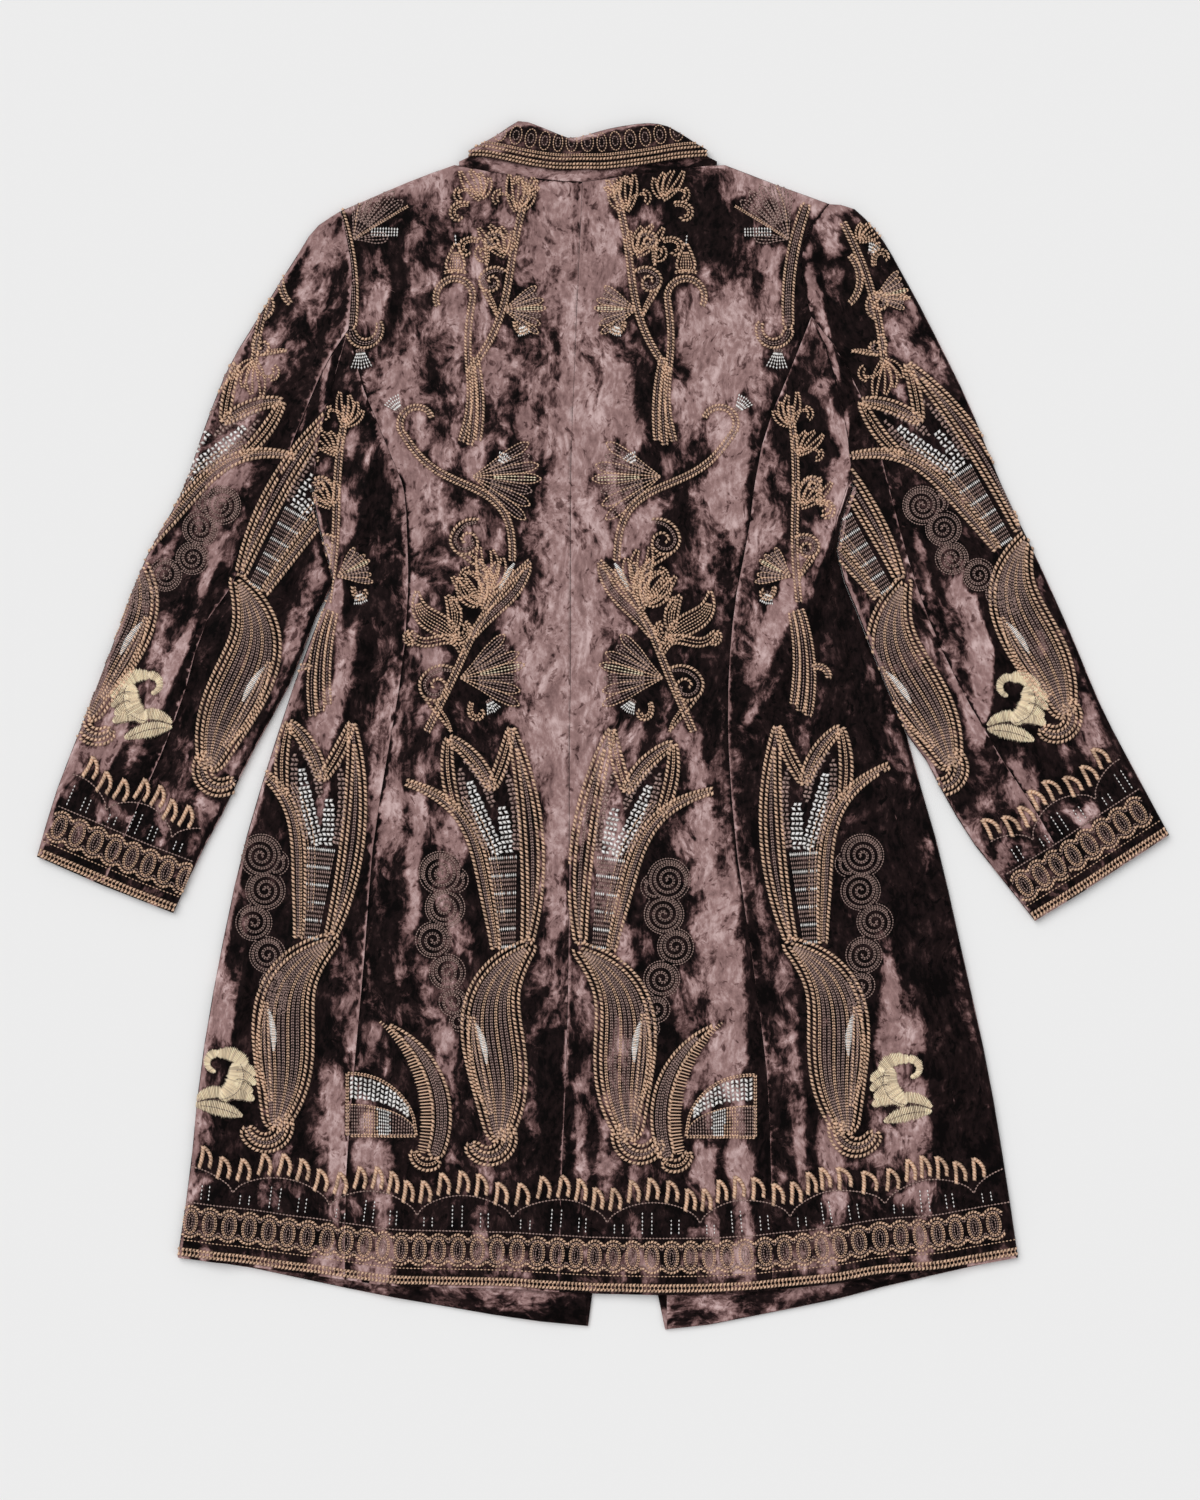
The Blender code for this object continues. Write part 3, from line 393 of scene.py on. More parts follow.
def paint(piece, node):
    """Stores on the cloth how light its pile lies, with painted light and shade by its slope and darkening
    around the stitches, and which way its pile runs.
    """
    mesh = piece.data
    place = np.empty(len(mesh.vertices) * 3)
    mesh.vertices.foreach_get("co", place)
    place = place.reshape(-1, 3)
    x, y = place[:, 0] / MM, place[:, 1] / MM
    light = np.zeros(len(place))
    for zone in ZONES:
        turn = math.radians(zone.turn)
        across = (x - zone.x) * math.cos(turn) + (y - zone.y) * math.sin(turn)
        along = -(x - zone.x) * math.sin(turn) + (y - zone.y) * math.cos(turn)
        light += zone.light * np.exp(-(np.abs(across) / zone.wide)**ZONE_POWER
                                     - (np.abs(along) / zone.tall)**ZONE_POWER)
    normal = np.empty(len(mesh.vertices) * 3)
    mesh.vertices.foreach_get("normal", normal)
    normal = normal.reshape(-1, 3)
    # painted light and shade: the pile lighter or darker by which way the cloth slopes
    light += np.clip(normal @ PAINTED_SLOPE_LIGHT, -PAINTED_SLOPE_MOST, PAINTED_SLOPE_MOST) * (normal[:, 2] > PAINTED_SLOPE_FACING)
    for ground, nodes in GROUNDS.items():
        if node in nodes:
            cells = ((pairs(x, y) + HALO_REACH) / HALO_CELL).astype(int)
            # the pile darker around the stitches
            light -= HALO_DARK * stitch_halo(ground)[tuple(cells.T)] * (normal[:, 2] > 0)
    mesh.attributes.new("light", "FLOAT", "POINT").data.foreach_set("value", light)
    turn = math.radians(PILE_WAY[node])
    grain = np.stack([
        place[:, 0] * math.cos(turn) + place[:, 1] * math.sin(turn),
        -place[:, 0] * math.sin(turn) + place[:, 1] * math.cos(turn),
        place[:, 2],
    ], axis=1)
    mesh.attributes.new("grain", "FLOAT_VECTOR", "POINT").data.foreach_set("vector", grain.ravel())


class Nodes:
    """A material's nodes, wired by name."""

    def __init__(self, name):
        self.material = bpy.data.materials.new(name)
        self.material.use_nodes = True
        self.tree = self.material.node_tree
        self.shader = self.tree.nodes["Principled BSDF"]

    def add(self, kind, settings=None, **inputs):
        node = self.tree.nodes.new(kind)
        for key, value in (settings or {}).items():
            setattr(node, key, value)
        for key, value in inputs.items():
            slot = node.inputs[int(key[1:])] if key[0] == "i" and key[1:].isdigit() else node.inputs[key]
            self.set(slot, value)
        return node

    def set(self, slot, value):
        if isinstance(value, bpy.types.NodeSocket):
            self.tree.links.new(value, slot)
        else:
            slot.default_value = value

    def noise(self, vector, scale, detail, roughness=0.5, distortion=0.0):
        node = self.add("ShaderNodeTexNoise", None, Vector=vector, Scale=scale, Detail=detail,
                        Roughness=roughness, Distortion=distortion)
        return node.outputs["Fac"]

    def streaks(self, vector, along, scale, detail, roughness=0.5, distortion=0.0):
        """Noise whose spots are drawn out along the grain: the smaller along is, the longer they are."""
        drawn = self.add("ShaderNodeMapping", None, Vector=vector, Scale=(1.0, along, 1.0)).outputs[0]
        return self.noise(drawn, scale, detail, roughness, distortion)

    def math(self, operation, a, b, kind="ShaderNodeMath"):
        return self.add(kind, {"operation": operation}, i0=a, i1=b).outputs[0]

    def total(self, *parts):
        """A sum of values, each times its weight."""
        found, *others = (self.math("MULTIPLY", value, weight) for value, weight in parts)
        for other in others:
            found = self.math("ADD", found, other)
        return found

    def between(self, value, low, high):
        node = self.add("ShaderNodeMapRange", {"interpolation_type": "SMOOTHSTEP"}, Value=value)
        node.inputs["From Min"].default_value = low
        node.inputs["From Max"].default_value = high
        return node.outputs["Result"]

    def colours(self, value, stops):
        node = self.add("ShaderNodeValToRGB", None, Fac=value)
        ramp = node.color_ramp
        while len(ramp.elements) < len(stops):
            ramp.elements.new(0.5)
        for element, (position, colour) in zip(ramp.elements, stops):
            element.position = position
            element.color = (*colour, 1.0)
        return node.outputs["Color"]

    def bump(self, height, strength, distance, normal=None):
        node = self.add("ShaderNodeBump", None, Height=height, Strength=strength, Distance=distance)
        if normal is not None:
            self.set(node.inputs["Normal"], normal)
        return node.outputs["Normal"]

    def surface(self, inputs):
        for name, value in inputs.items():
            self.set(self.shader.inputs[name], value)


def crushed_velvet(name, lean):
    """Crushed velvet: pile pressed in patches that run along the grain, light one way and dark the other."""
    dark, middle, middling, light, pale = PILE_COLOURS
    nodes = Nodes(name)
    grain = nodes.add("ShaderNodeAttribute", {"attribute_name": "grain"}).outputs["Vector"]
    # the light attribute: the pile's own light and dark zones, plus painted light and shade by slope and
    # darkening around the stitches
    tone_with_painted_shading = nodes.add("ShaderNodeAttribute", {"attribute_name": "light"}).outputs["Fac"]
    drift = nodes.add("ShaderNodeTexNoise", None, Vector=grain, Scale=14.0, Detail=3.0).outputs["Color"]
    centred = nodes.math("SUBTRACT", drift, (0.5, 0.5, 0.5), "ShaderNodeVectorMath")
    shift = nodes.add("ShaderNodeVectorMath", {"operation": "SCALE"}, i0=centred, Scale=0.030).outputs[0]
    warped = nodes.math("ADD", grain, shift, "ShaderNodeVectorMath")
    patches = nodes.streaks(warped, 0.55, 50.0, 8.0, 0.66, 0.5)
    broad = nodes.streaks(warped, 0.5, 13.0, 3.0)
    fine = nodes.streaks(grain, 0.07, 150.0, 4.0, 0.6)
    flecks = nodes.streaks(warped, 0.75, 125.0, 4.0, 0.62, 0.5)
    body = nodes.total((patches, 0.54), (broad, 0.28), (fine, 0.10), (tone_with_painted_shading, 0.22), (flecks, 0.30))
    lay = nodes.between(body, 0.530 - lean, 0.680 - lean)
    speck = nodes.between(flecks, 0.575, 0.67)
    mottle = nodes.math("SUBTRACT", nodes.streaks(warped, 0.6, 62.0, 7.0, 0.68), 0.44)
    soft = nodes.math("SUBTRACT", nodes.streaks(warped, 0.5, 260.0, 4.0, 0.6), 0.40)
    value = nodes.total((lay, 0.68), (speck, -0.30), (mottle, 1.05), (soft, 0.55))
    rough = nodes.add("ShaderNodeMapRange", None, Value=lay).outputs["Result"]
    rough.node.inputs["To Min"].default_value = 0.62
    rough.node.inputs["To Max"].default_value = 0.82
    relief = nodes.bump(lay, 0.35, 0.0009)
    stops = ((0.0, dark), (0.22, middle), (0.50, middling), (0.78, light), (1.0, pale))
    nodes.surface({
        "Base Color": nodes.colours(value, stops),
        "Roughness": rough,
        "Normal": nodes.bump(nodes.streaks(grain, 0.45, 1900.0, 2.0), 0.25, 0.0003, relief),
        "Specular IOR Level": 0.04,
        "Sheen Weight": 0.05,
        "Sheen Roughness": 0.45,
        "Sheen Tint": (0.72, 0.60, 0.60, 1.0),
    })
    return nodes.material


def camera_and_light():
    camera = bpy.data.cameras.new("camera")
    camera.lens = LENS
    camera.sensor_width = SENSOR
    camera.sensor_fit = "AUTO"
    seat = bpy.data.objects.new("camera", camera)
    seat.location = CAMERA_PLACE
    bpy.context.collection.objects.link(seat)
    bpy.context.scene.camera = seat
    for name, (place, strength) in LAMPS.items():
        lamp = bpy.data.lights.new(name, "SUN")
        lamp.angle = LAMP_ANGLE
        lamp.energy = strength
        holder = bpy.data.objects.new(name, lamp)
        holder.location = place
        holder.rotation_euler = (-Vector(place)).to_track_quat("-Z", "Y").to_euler()
        bpy.context.collection.objects.link(holder)
    world = bpy.data.worlds.new("room")
    world.use_nodes = True
    back = world.node_tree.nodes["Background"]
    back.inputs["Color"].default_value = (1.0, 1.0, 1.0, 1.0)
    back.inputs["Strength"].default_value = ROOM_LIGHT
    bpy.context.scene.world = world
    bpy.context.scene.view_settings.view_transform = "Standard"
    bpy.ops.mesh.primitive_plane_add(size=FLOOR_SIZE, location=(0, 0, -FLOOR_DROP))
    floor = bpy.context.active_object
    floor.name = "floor"
    nodes = Nodes("pale_floor")
    nodes.surface({"Base Color": (FLOOR_GREY, FLOOR_GREY, FLOOR_GREY, 1.0), "Roughness": 0.9,
                   "Specular IOR Level": 0.0})
    floor.data.materials.append(nodes.material)
    bpy.ops.object.select_all(action="DESELECT")


# Embroidery: a stroke runs from a foot to a tip in a round arc that bows to the left of its way, with a sway
# of two half waves on top. It has a half width at its foot, middle and tip, and round ends. A stroke without
# widths is one row of stitches.
Stroke = namedtuple("Stroke", "look x0 y0 x1 y1 bow foot middle tip sway", defaults=(0.2, 0.2, 0.2, 0))
STROKE_STEPS = 30
FLAT_BOW = 0.01
ROW_LEAST = 1.7              # rows of a stroke end where they come closer than this
ROPE_LEAST = 0.4             # a rope ends where the stroke is no wider than this at it
ROW_SCALE = 0.9

# How a stroke is sewn: ropes at steps in from each edge, then rows of a stitch from an inset inwards
Look = namedtuple("Look", "ropes scale inset stitch threads pitch")
LOOKS = {
    "band": Look((0.0,), 1.0, 2.4, "chain", ("gold", "mauve"), 3.5),
    "double_band": Look((0.0, 4.6), 1.0, 7.4, "chain", ("mauve", "gold"), 3.6),
    "body": Look((0.0, 5.0), 1.0, 7.4, "chain", ("mauve", "mauve", "gold"), 4.1),
    "crescent": Look((0.0,), 1.0, 2.6, "chain", ("mauve",), 3.4),
    "line": Look((), 1.0, 0.0, "chain", ("gold",), 3.0),
    "fine_rows": Look((), 1.0, 0.0, "run", ("gold", "mauve"), 2.4),
    "gold_leaf": Look((0.0,), 0.85, 2.2, "run", ("gold",), 2.4),
    "finger": Look((0.0,), 0.7, 99.0, "run", ("gold",), 9.0),
    "stem": Look((0.0,), 0.8, 1.9, "run", ("mauve",), 1.9),
    "vein": Look((), 1.0, 0.0, "vein", ("brown",), 3.0),
}
ACROSS = {
    "beads": [("beads", "white", 0)],
    "knots": [("beads", "mauve", 0)],
    "white_satin": [("satin", "white", 0)],
    "cream_satin": [("satin", "cream", 0)],
    "rungs": [("rungs", "gold", 0)],
    "ladder": [("ladder", "mauve", 21), ("ladder", "white", 6)],
}

MOTIFS = {kind: [Stroke(*row) for row in rows] for kind, rows in {
    "tulip": (
        ("band", -8, -9, -87, 137, -27, 3.4, 5.4, 2.2, 6),
        ("fine_rows", 0, -6, -38, 124, -11, 1.6, 4.0, 3.0, 2),
        ("band", -42, 112, -49, 175, 4, 3.6, 5.0, 3.0), ("band", -49, 175, -11, 130, 5, 3.0, 5.6, 3.8),
        ("band", -12, 131, 5, 184, -2, 3.8, 4.6, 2.6), ("double_band", 5, 184, 19, -4, 11, 2.8, 9.6, 4.6),
        ("knots", -39, 150, -15, 77, -5, 3.0, 3.6, 3.0), ("knots", -37, 156, -11, 114, 5, 2.2, 3.8, 3.0),
        ("knots", 0, 148, 9, 77, 4, 2.2, 4.0, 3.0), ("beads", -31, 138, -5, 74, -2, 3.0, 6.6, 5.4),
        ("beads", -3, 116, 3, 75, 0, 4.4, 5.4, 4.4), ("ladder", -2, 71, 3, -6, 0, 12.4, 9.2, 6.4),
    ),
    "paisley": (
        ("body", 25, -2, -5, -176, -21, 4.6, 26.0, 8.6, -9),
        ("double_band", -1, -162, -30, -176, 19, 7.6, 7.8, 6.4),
        ("gold_leaf", -28, -66, -12, -152, -5, 1.0, 5.2, 1.0),
        ("white_satin", -26, -72, -16, -108, 2, 0.5, 3.0, 0.5),
    ),
    "crescent": (
        ("rungs", -40, 95, -2, -20, 19, 0.8, 5.8, 5.0), ("crescent", -31, 91, 8, -24, 23, 0.8, 7.0, 6.4),
        ("band", 12, -26, -9, -18, 8, 4.6, 4.8, 3.2),
    ),
    "curl_leaf": (
        ("cream_satin", -9, 10, -6, 25, 9, 1.8, 3.4, 4.0),
        ("cream_satin", -8, 24, 16, 14, 6, 3.4, 6.4, 5.8),
        ("cream_satin", 6, 17, -6, -12, 8, 4.6, 8.6, 5.4),
        ("cream_satin", 11, 15, 25, 6, 2, 3.0, 4.4, 2.4),
        ("cream_satin", 11, 7, 25, -2, 2, 3.0, 4.4, 2.4),
        ("cream_satin", 8, -1, 22, -9, 2, 3.0, 4.4, 2.4),
        ("cream_satin", 0, -12, 24, -15, 3, 2.0, 5.0, 3.0),
        ("cream_satin", -3, -8, -27, -16, -3, 5.0, 5.2, 1.2),
        ("cream_satin", -27, -19, 14, -29, 2, 1.8, 7.4, 1.6), ("vein", 12, 17, -4, -14, 10),
        ("vein", -4, -15, -27, -18, -2), ("vein", 1, -17, 22, -18, 3), ("vein", -22, -20, 10, -28, 2),
        ("vein", 9, 11, 22, 6, 2), ("vein", 9, 3, 22, -2, 2),
    ),
    "full_leaf": (
        ("gold_leaf", 2, -6, 50, 14, 3, 2.4, 3.6, 2.4, 6), ("gold_leaf", 50, 14, 46, 5, 4, 2.2, 2.6, 1.8),
        ("gold_leaf", 8, 8, 45, 50, -7, 4.0, 8.6, 0.8, 3),
        ("gold_leaf", 12, 16, 20, 46, 4, 3.4, 5.4, 0.8), ("gold_leaf", 12, 10, 3, 22, 8, 4.4, 3.6, 2.0),
    ),
    "finger_leaf": (
        ("stem", 9, -22, -38, 40, 4, 3.6, 4.4, 3.2, -2), ("stem", -2, 2, -11, 42, -3, 2.6, 3.8, 1.8),
        ("stem", 1, 8, 6, 45, 3, 2.6, 3.6, 1.8), ("gold_leaf", 3, 6, 21, 30, -4, 2.6, 6.2, 0.8),
        ("white_satin", -26, 42, -14, 18, 1, 0.8, 2.4, 0.6),
    ),
    "spray": (
        ("finger", 0, 0, 3, 35, -3, 1.0, 2.8, 0.8), ("finger", -1, 3, -5, 31, 3, 1.0, 2.7, 0.8),
        ("finger", -2, 3, -12, 24, 3, 1.0, 2.6, 0.8), ("finger", -2, 1, -18, 15, 3, 1.0, 2.4, 0.8),
        ("line", 1, 4, 15, 17, 5), ("finger", 12, 20, 16, 9, 4, 1.0, 2.2, 1.6),
    ),
}.items()}

# Stems of the right half of the back, and of the sleeve head
STEMS = [Stroke("stem", *row) for row in (
    (12, 142, 113, 254, 14, 2.2, 2.2, 2.2, 11), (113, 254, 88, 267, -16, 2.2, 2.0, 1.4),
    (-4, 143, 79, -6, 9, 2.0, 2.2, 2.2, 3), (10, 470, 58, 306, -9, 2.0, 2.2, 2.0, 4),
    (62, 246, 56, 370, 2, 2.0, 2.2, 2.0, 3), (56, 370, 86, 364, 21, 2.0, 2.0, 1.6),
    (52, 320, 47, 247, -3, 2.0, 2.4, 2.2), (56, 312, 54, 243, -3, 2.0, 2.4, 2.2),
    (177, 453, 161, 345, -6, 3.6, 4.4, 4.2), (161, 345, 137, 350, 16, 4.2, 3.6, 2.4),
    (162, 278, 170, 106, 1, 2.0, 2.4, 2.0, 2), (163, 98, 165, 18, 4, 2.0, 2.6, 2.4),
    (167, 100, 171, 12, 5, 2.2, 3.2, 3.0), (171, 101, 178, 8, 6, 2.2, 3.0, 2.8),
    (182, 50, 196, 41, 5, 1.8, 2.0, 1.6),
)]
HEAD_STEMS = [Stroke("stem", *row) for row in (
    (208, 437, 244, 314, 7, 2.2, 2.4, 2.2), (214, 408, 214, 366, 9, 1.8, 2.2, 1.8),
)]

# Sprigs between the stems: where each stands, its turn in degrees and its size
Sprig = namedtuple("Sprig", "kind x y turn size")
SPRIGS = [Sprig(kind, *place) for kind, places in (
    ("fan", (
        (50, 216, 92, 1.00), (52, 41, 78, 0.95), (29, 361, 88, 0.62), (163, 129, 62, 0.52),
    )),
    ("bud", (
        (117, 274, -38, 1.00), (152, 325, 175, 1.20), (13, 347, 160, 0.70), (27, 227, 30, 0.80),
        (26, 21, 150, 0.85), (144, 115, 165, 0.80),
    )),
    ("point_bud", ((72, 393, 0, 1.00),)),
    ("spiral", (
        (42, 179, -78, 1.00), (56, 49, -60, 1.05), (27, 394, -50, 0.75), (166, 163, -55, 0.70),
        (172, 209, -20, 0.50), (28, 422, -25, 0.55),
    )),
    ("spray", (
        (29, 407, -38, 1.00), (21, 446, -5, 0.95), (52, 456, -30, 0.90), (14, 462, 15, 0.60),
        (163, 259, -5, 0.90), (170, 235, -45, 0.80), (172, 189, -45, 1.00),
    )),
    ("hooklet", (
        (51, 422, -60, 0.90), (184, 195, -70, 0.90), (61, 454, -70, 0.90), (42, 21, -150, 0.80),
        (150, 121, -170, 0.70), (20, 351, -175, 0.70),
    )),
    ("spray", ((30, 115, -10, 1.20), (34, 105, -45, 1.10),)),
    ("full_leaf", ((48, 67, 0, 1.00),)),
    ("finger_leaf", ((36, 99, 0, 1.00),)),
    ("wide_fan", ((161, 422, 25, 1.00),)),
) for place in places]
HEAD_SPRIGS = [
    Sprig("spray", 244, 318, 172, 1.0), Sprig("fan", 236, 372, -78, 0.5), Sprig("spiral", 236, 352, 60, 0.7),
    Sprig("hooklet", 234, 398, 20, 0.8), Sprig("bud", 232, 410, -30, 0.7), Sprig("spray", 222, 420, -60, 0.7),
    Sprig("spiral", 240, 340, -120, 0.55),
]

# Where the large motifs lie, by what they lie on: place, turn in degrees, size, and 1 or -1 where mirrored
Motif = namedtuple("Motif", "kind x y turn size mirror")
LARGE_MOTIFS = {ground: [Motif(*row) for row in rows] for ground, rows in {
    ("body", "skirt"): (
        ("tulip", -85, -186, 0, 1.0, 1), ("paisley", -85, -186, 0, 1.0, 1),
        ("tulip", 0, -187, -4, 1.0, -1), ("paisley", 0, -187, 6, 1.0, -1),
        ("tulip", -255, -178, -10, 1.0, 1), ("paisley", -255, -178, -8, 1.0, 1),
        ("tulip", 182, -182, 8, 1.0, -1), ("paisley", 182, -182, 8, 1.0, -1),
        ("cloud", -141, -128, 0, 1.0, 1), ("cloud", -297, -113, 0, 1.0, 1),
        ("cloud", 57, -134, 0, 1.0, -1), ("cloud", 225, -113, 5, 1.0, -1),
        ("crescent", -155, -351, 0, 1.0, 1), ("crescent", 65, -352, 0, 1.0, -1),
        ("curl_leaf", 258, -315, 0, 1.0, -1), ("curl_leaf", -327, -310, 0, 1.0, 1),
    ),
    ("right_sleeve", "sleeve_right"): (
        ("tulip", 345, 163, 30, 0.93, 1), ("paisley", 348, 161, 21, 0.93, 1),
        ("tulip", 241, 121, 30, 0.93, 1), ("paisley", 241, 121, 23, 0.97, 1),
        ("cloud", 277, 191, 35, 0.9, 1), ("curl_leaf", 360, 16, 0, 1.0, 1),
    ),
    ("left_sleeve", "sleeve_left"): (
        ("tulip", -399, 163, -30, 0.93, -1), ("paisley", -402, 161, -18, 0.93, -1),
        ("tulip", -297, 125, -26, 0.93, -1), ("paisley", -297, 125, -17, 0.97, -1),
        ("cloud", -331, 191, -35, 0.9, -1), ("curl_leaf", -401, 18, 0, 1.0, -1),
    ),
}.items()}

# Lobes of a scroll cloud, each wound in on itself
Lobe = namedtuple("Lobe", "x y radius start winding")
CLOUD = [Lobe(*row) for row in (
    (0, 0, 16.0, 200, -1), (13, -6, 8.5, 20, 1), (4, -30, 14.5, 60, 1), (-6, -58, 13.0, 150, -1),
    (6, -86, 13.0, 40, 1), (11, -112, 9.5, 160, -1), (16, -129, 5.5, 20, 1),
)]
LOBE_PITCH = 4.3
LOBE_RIM = 2.6
LOBE_GAP = 1.2
LOBE_POINTS = 22             # to a turn of a scroll

# Half moon: its parts, from the rim to the flat side, as shares of its height, and its rays from one step of
# the arch to another, with their number and thread
MOON_LEFT = -67.0
MOON_WIDE = 60.0
MOON_FOOT = -5.0
MOON_TALL = 54.0
MOON_MIDDLE = 20.0
MOON_STEPS = 17
MOON_POWER = 2.2
MOON_PARTS = (1.0, 0.95, 0.58, 0.50, 0.0)
MOON_RAYS = ((0, 5, 8, "mauve"), (4, 8, 6, "gold"), (7, 11, 7, "white"), (10, 16, 9, "mauve"))

# Line between the halves of the back: height, and how far aside
MIRROR = np.array([(-400, -36), (0, -37), (275, -30), (470, -27)])

# Half a leaf of a fan: share of its length, and of half its width
PETAL = ((0.0, 0.0), (0.30, 0.40), (0.70, 1.0), (0.92, 0.70), (1.0, 0.0))
PETAL_ROW = 0.35

# Stitches: pitch along the line, length, width, height, sideways step and slant in degrees
Stitch = namedtuple("Stitch", "pitch long wide tall aside slant")
STITCHES = {
    "rope": [Stitch(3.7, 5.0, 3.1, 2.2, 0.0, 42)],
    "cord": [Stitch(2.9, 5.8, 4.0, 2.5, 0.0, 44)],
    "chain": [Stitch(2.8, 3.2, 1.7, 1.3, 0.78, 20), Stitch(2.8, 3.2, 1.7, 1.3, -0.78, -20)],
    "run": [Stitch(2.9, 3.1, 1.7, 1.1, 0.0, 0)],
    "vein": [Stitch(2.4, 3.0, 1.3, 2.0, 0.0, 0)],
    "dash": [Stitch(3.2, 2.6, 1.4, 1.0, 0.0, 0)],
}
SATIN_PITCH = 1.5
RUNG_PITCH = 3.0
SATIN_WIDTH = 1.45
SATIN_HEIGHT = 1.2
SATIN_LEAST = 0.6
BEAD_PITCH = 4.0
BEAD_SIZE = 3.8
BEAD_FORM = (BEAD_SIZE * 1.25, BEAD_SIZE * 0.85, 1.5)
BEAD_SLANT = 35
BEAD_STARTS = (0.35, 0.5)    # of every other row
LADDER_PITCH = 1.6
LADDER_LENGTH = 4.0
LADDER_SHARE = 0.92
LADDER_FORM = (1.5, 1.2)
LINE_STEP = 0.5

GROUNDS = {
    "body": ("back_left", "back_right", "side_back_left", "side_back_right", "front_right"),
    "left_sleeve": ("sleeve_left_upper", "sleeve_left_under"),
    "right_sleeve": ("sleeve_right_upper", "sleeve_right_under"),
    "collar": ("collar_fall",),
}

THREADS = {
    "gold": (0.72, 0.480, 0.335),
    "mauve": (0.37, 0.252, 0.222),
    "brown": (0.120, 0.070, 0.062),
    "white": (0.92, 0.89, 0.86),
    "cream": (0.90, 0.74, 0.53),
}
THREAD_DEEP = 0.58
THREAD_BRIGHT = 1.22


class Work:
    """All stitches, kept by thread and area until they are made into meshes."""

    def __init__(self):
        self.rows = {}

    def lay(self, thread, spot, form, place, way, long, wide, tall):
        count = len(place)
        if count == 0:
            return
        sizes = np.stack([np.broadcast_to(value, count) for value in (long, wide, tall)], axis=1)
        key = (thread, spot.area, spot.ground, form)
        self.rows.setdefault(key, []).append(np.hstack([place, way, sizes]))


work = Work()


class Spot:
    """Where a drawing lies: it turns, sizes and mirrors points, then moves them."""

    def __init__(self, ground, area, bend=None, x=0, y=0, turn=0, size=1.0, mirror=1):
        angle = math.radians(turn)
        self.matrix = size * np.array([[math.cos(angle) * mirror, -math.sin(angle)],
                                       [math.sin(angle) * mirror, math.cos(angle)]])
        self.origin = np.array((x, y), float)
        self.ground = ground
        self.area = area
        self.bend = bend

    def put(self, points):
        placed = np.asarray(points, float) @ self.matrix.T + self.origin
        return placed if self.bend is None else self.bend(placed)


def rotated(way, degrees):
    angle = math.radians(degrees)
    return pairs(way[:, 0] * math.cos(angle) - way[:, 1] * math.sin(angle),
                 way[:, 0] * math.sin(angle) + way[:, 1] * math.cos(angle))


def walk(curve, pitch):
    """Places every pitch along a curve, with the way that it runs there."""
    count = max(2, int(round(curve.length / pitch)))
    lengths = (np.arange(count) + 0.5) * curve.length / count
    return curve.at(lengths), curve.way(lengths, min(LINE_STEP, curve.length / 10))


def sew_line(spot, stitch, thread, points, scale=1.0):
    curve = Curve(spot.put(points))
    for part in STITCHES[stitch]:
        place, way = walk(curve, part.pitch * scale)
        work.lay(thread, spot, "grain", place + leftward(way) * part.aside * scale,
                 rotated(way, part.slant), part.long * scale, part.wide * scale, part.tall)


def between(one, other, share):
    return one * (1 - share) + other * share


def sew_fill(spot, stitch, thread, count, one, other):
    """Stitches over the area between two lines."""
    first = Curve(spot.put(one))
    second = Curve(spot.put(other))
    length = max(first.length, second.length)
    steps = {
        "satin": max(3, int(length / SATIN_PITCH)),
        "rungs": max(3, int(length / RUNG_PITCH)),
        "beads": max(2, int(length / BEAD_PITCH)),
    }.get(stitch, count - 1)
    a, b = first.even(steps), second.even(steps)
    if stitch in ("satin", "rungs"):
        run = b - a
        reach = np.maximum(np.linalg.norm(run, axis=1), SATIN_LEAST)
        work.lay(thread, spot, "bar", (a + b) / 2, run / reach[:, None], reach + SATIN_LEAST,
                 SATIN_WIDTH, SATIN_HEIGHT)
    elif stitch == "rays":
        for start, end in zip(a, b):
            sew_line(Spot(spot.ground, spot.area), "run", thread, [start, (start + end) / 2, end])
    elif stitch == "ladder":
        along = np.gradient((a + b) / 2, axis=0)
        along /= np.linalg.norm(along, axis=1, keepdims=True)
        long = min(LADDER_SHARE * first.length / steps, LADDER_LENGTH)
        for start, end, way in zip(a, b, along):
            number = max(3, int(np.linalg.norm(end - start) / LADDER_PITCH))
            share = ((np.arange(number) + 0.5) / number)[:, None]
            work.lay(thread, spot, "grain", between(start, end, share),
                     np.repeat(way[None], number, axis=0), long, *LADDER_FORM)
    else:
        for row, (start, end) in enumerate(zip(a, b)):
            reach = np.linalg.norm(end - start)
            number = max(1, int(round(reach / BEAD_PITCH)))
            share = ((np.arange(number) + BEAD_STARTS[row % 2]) / number)[:, None]
            way = np.repeat(((end - start) / max(reach, TINY))[None], number, axis=0)
            work.lay(thread, spot, "grain", between(start, end, share),
                     rotated(way, BEAD_SLANT if row % 2 else -BEAD_SLANT), *BEAD_FORM)


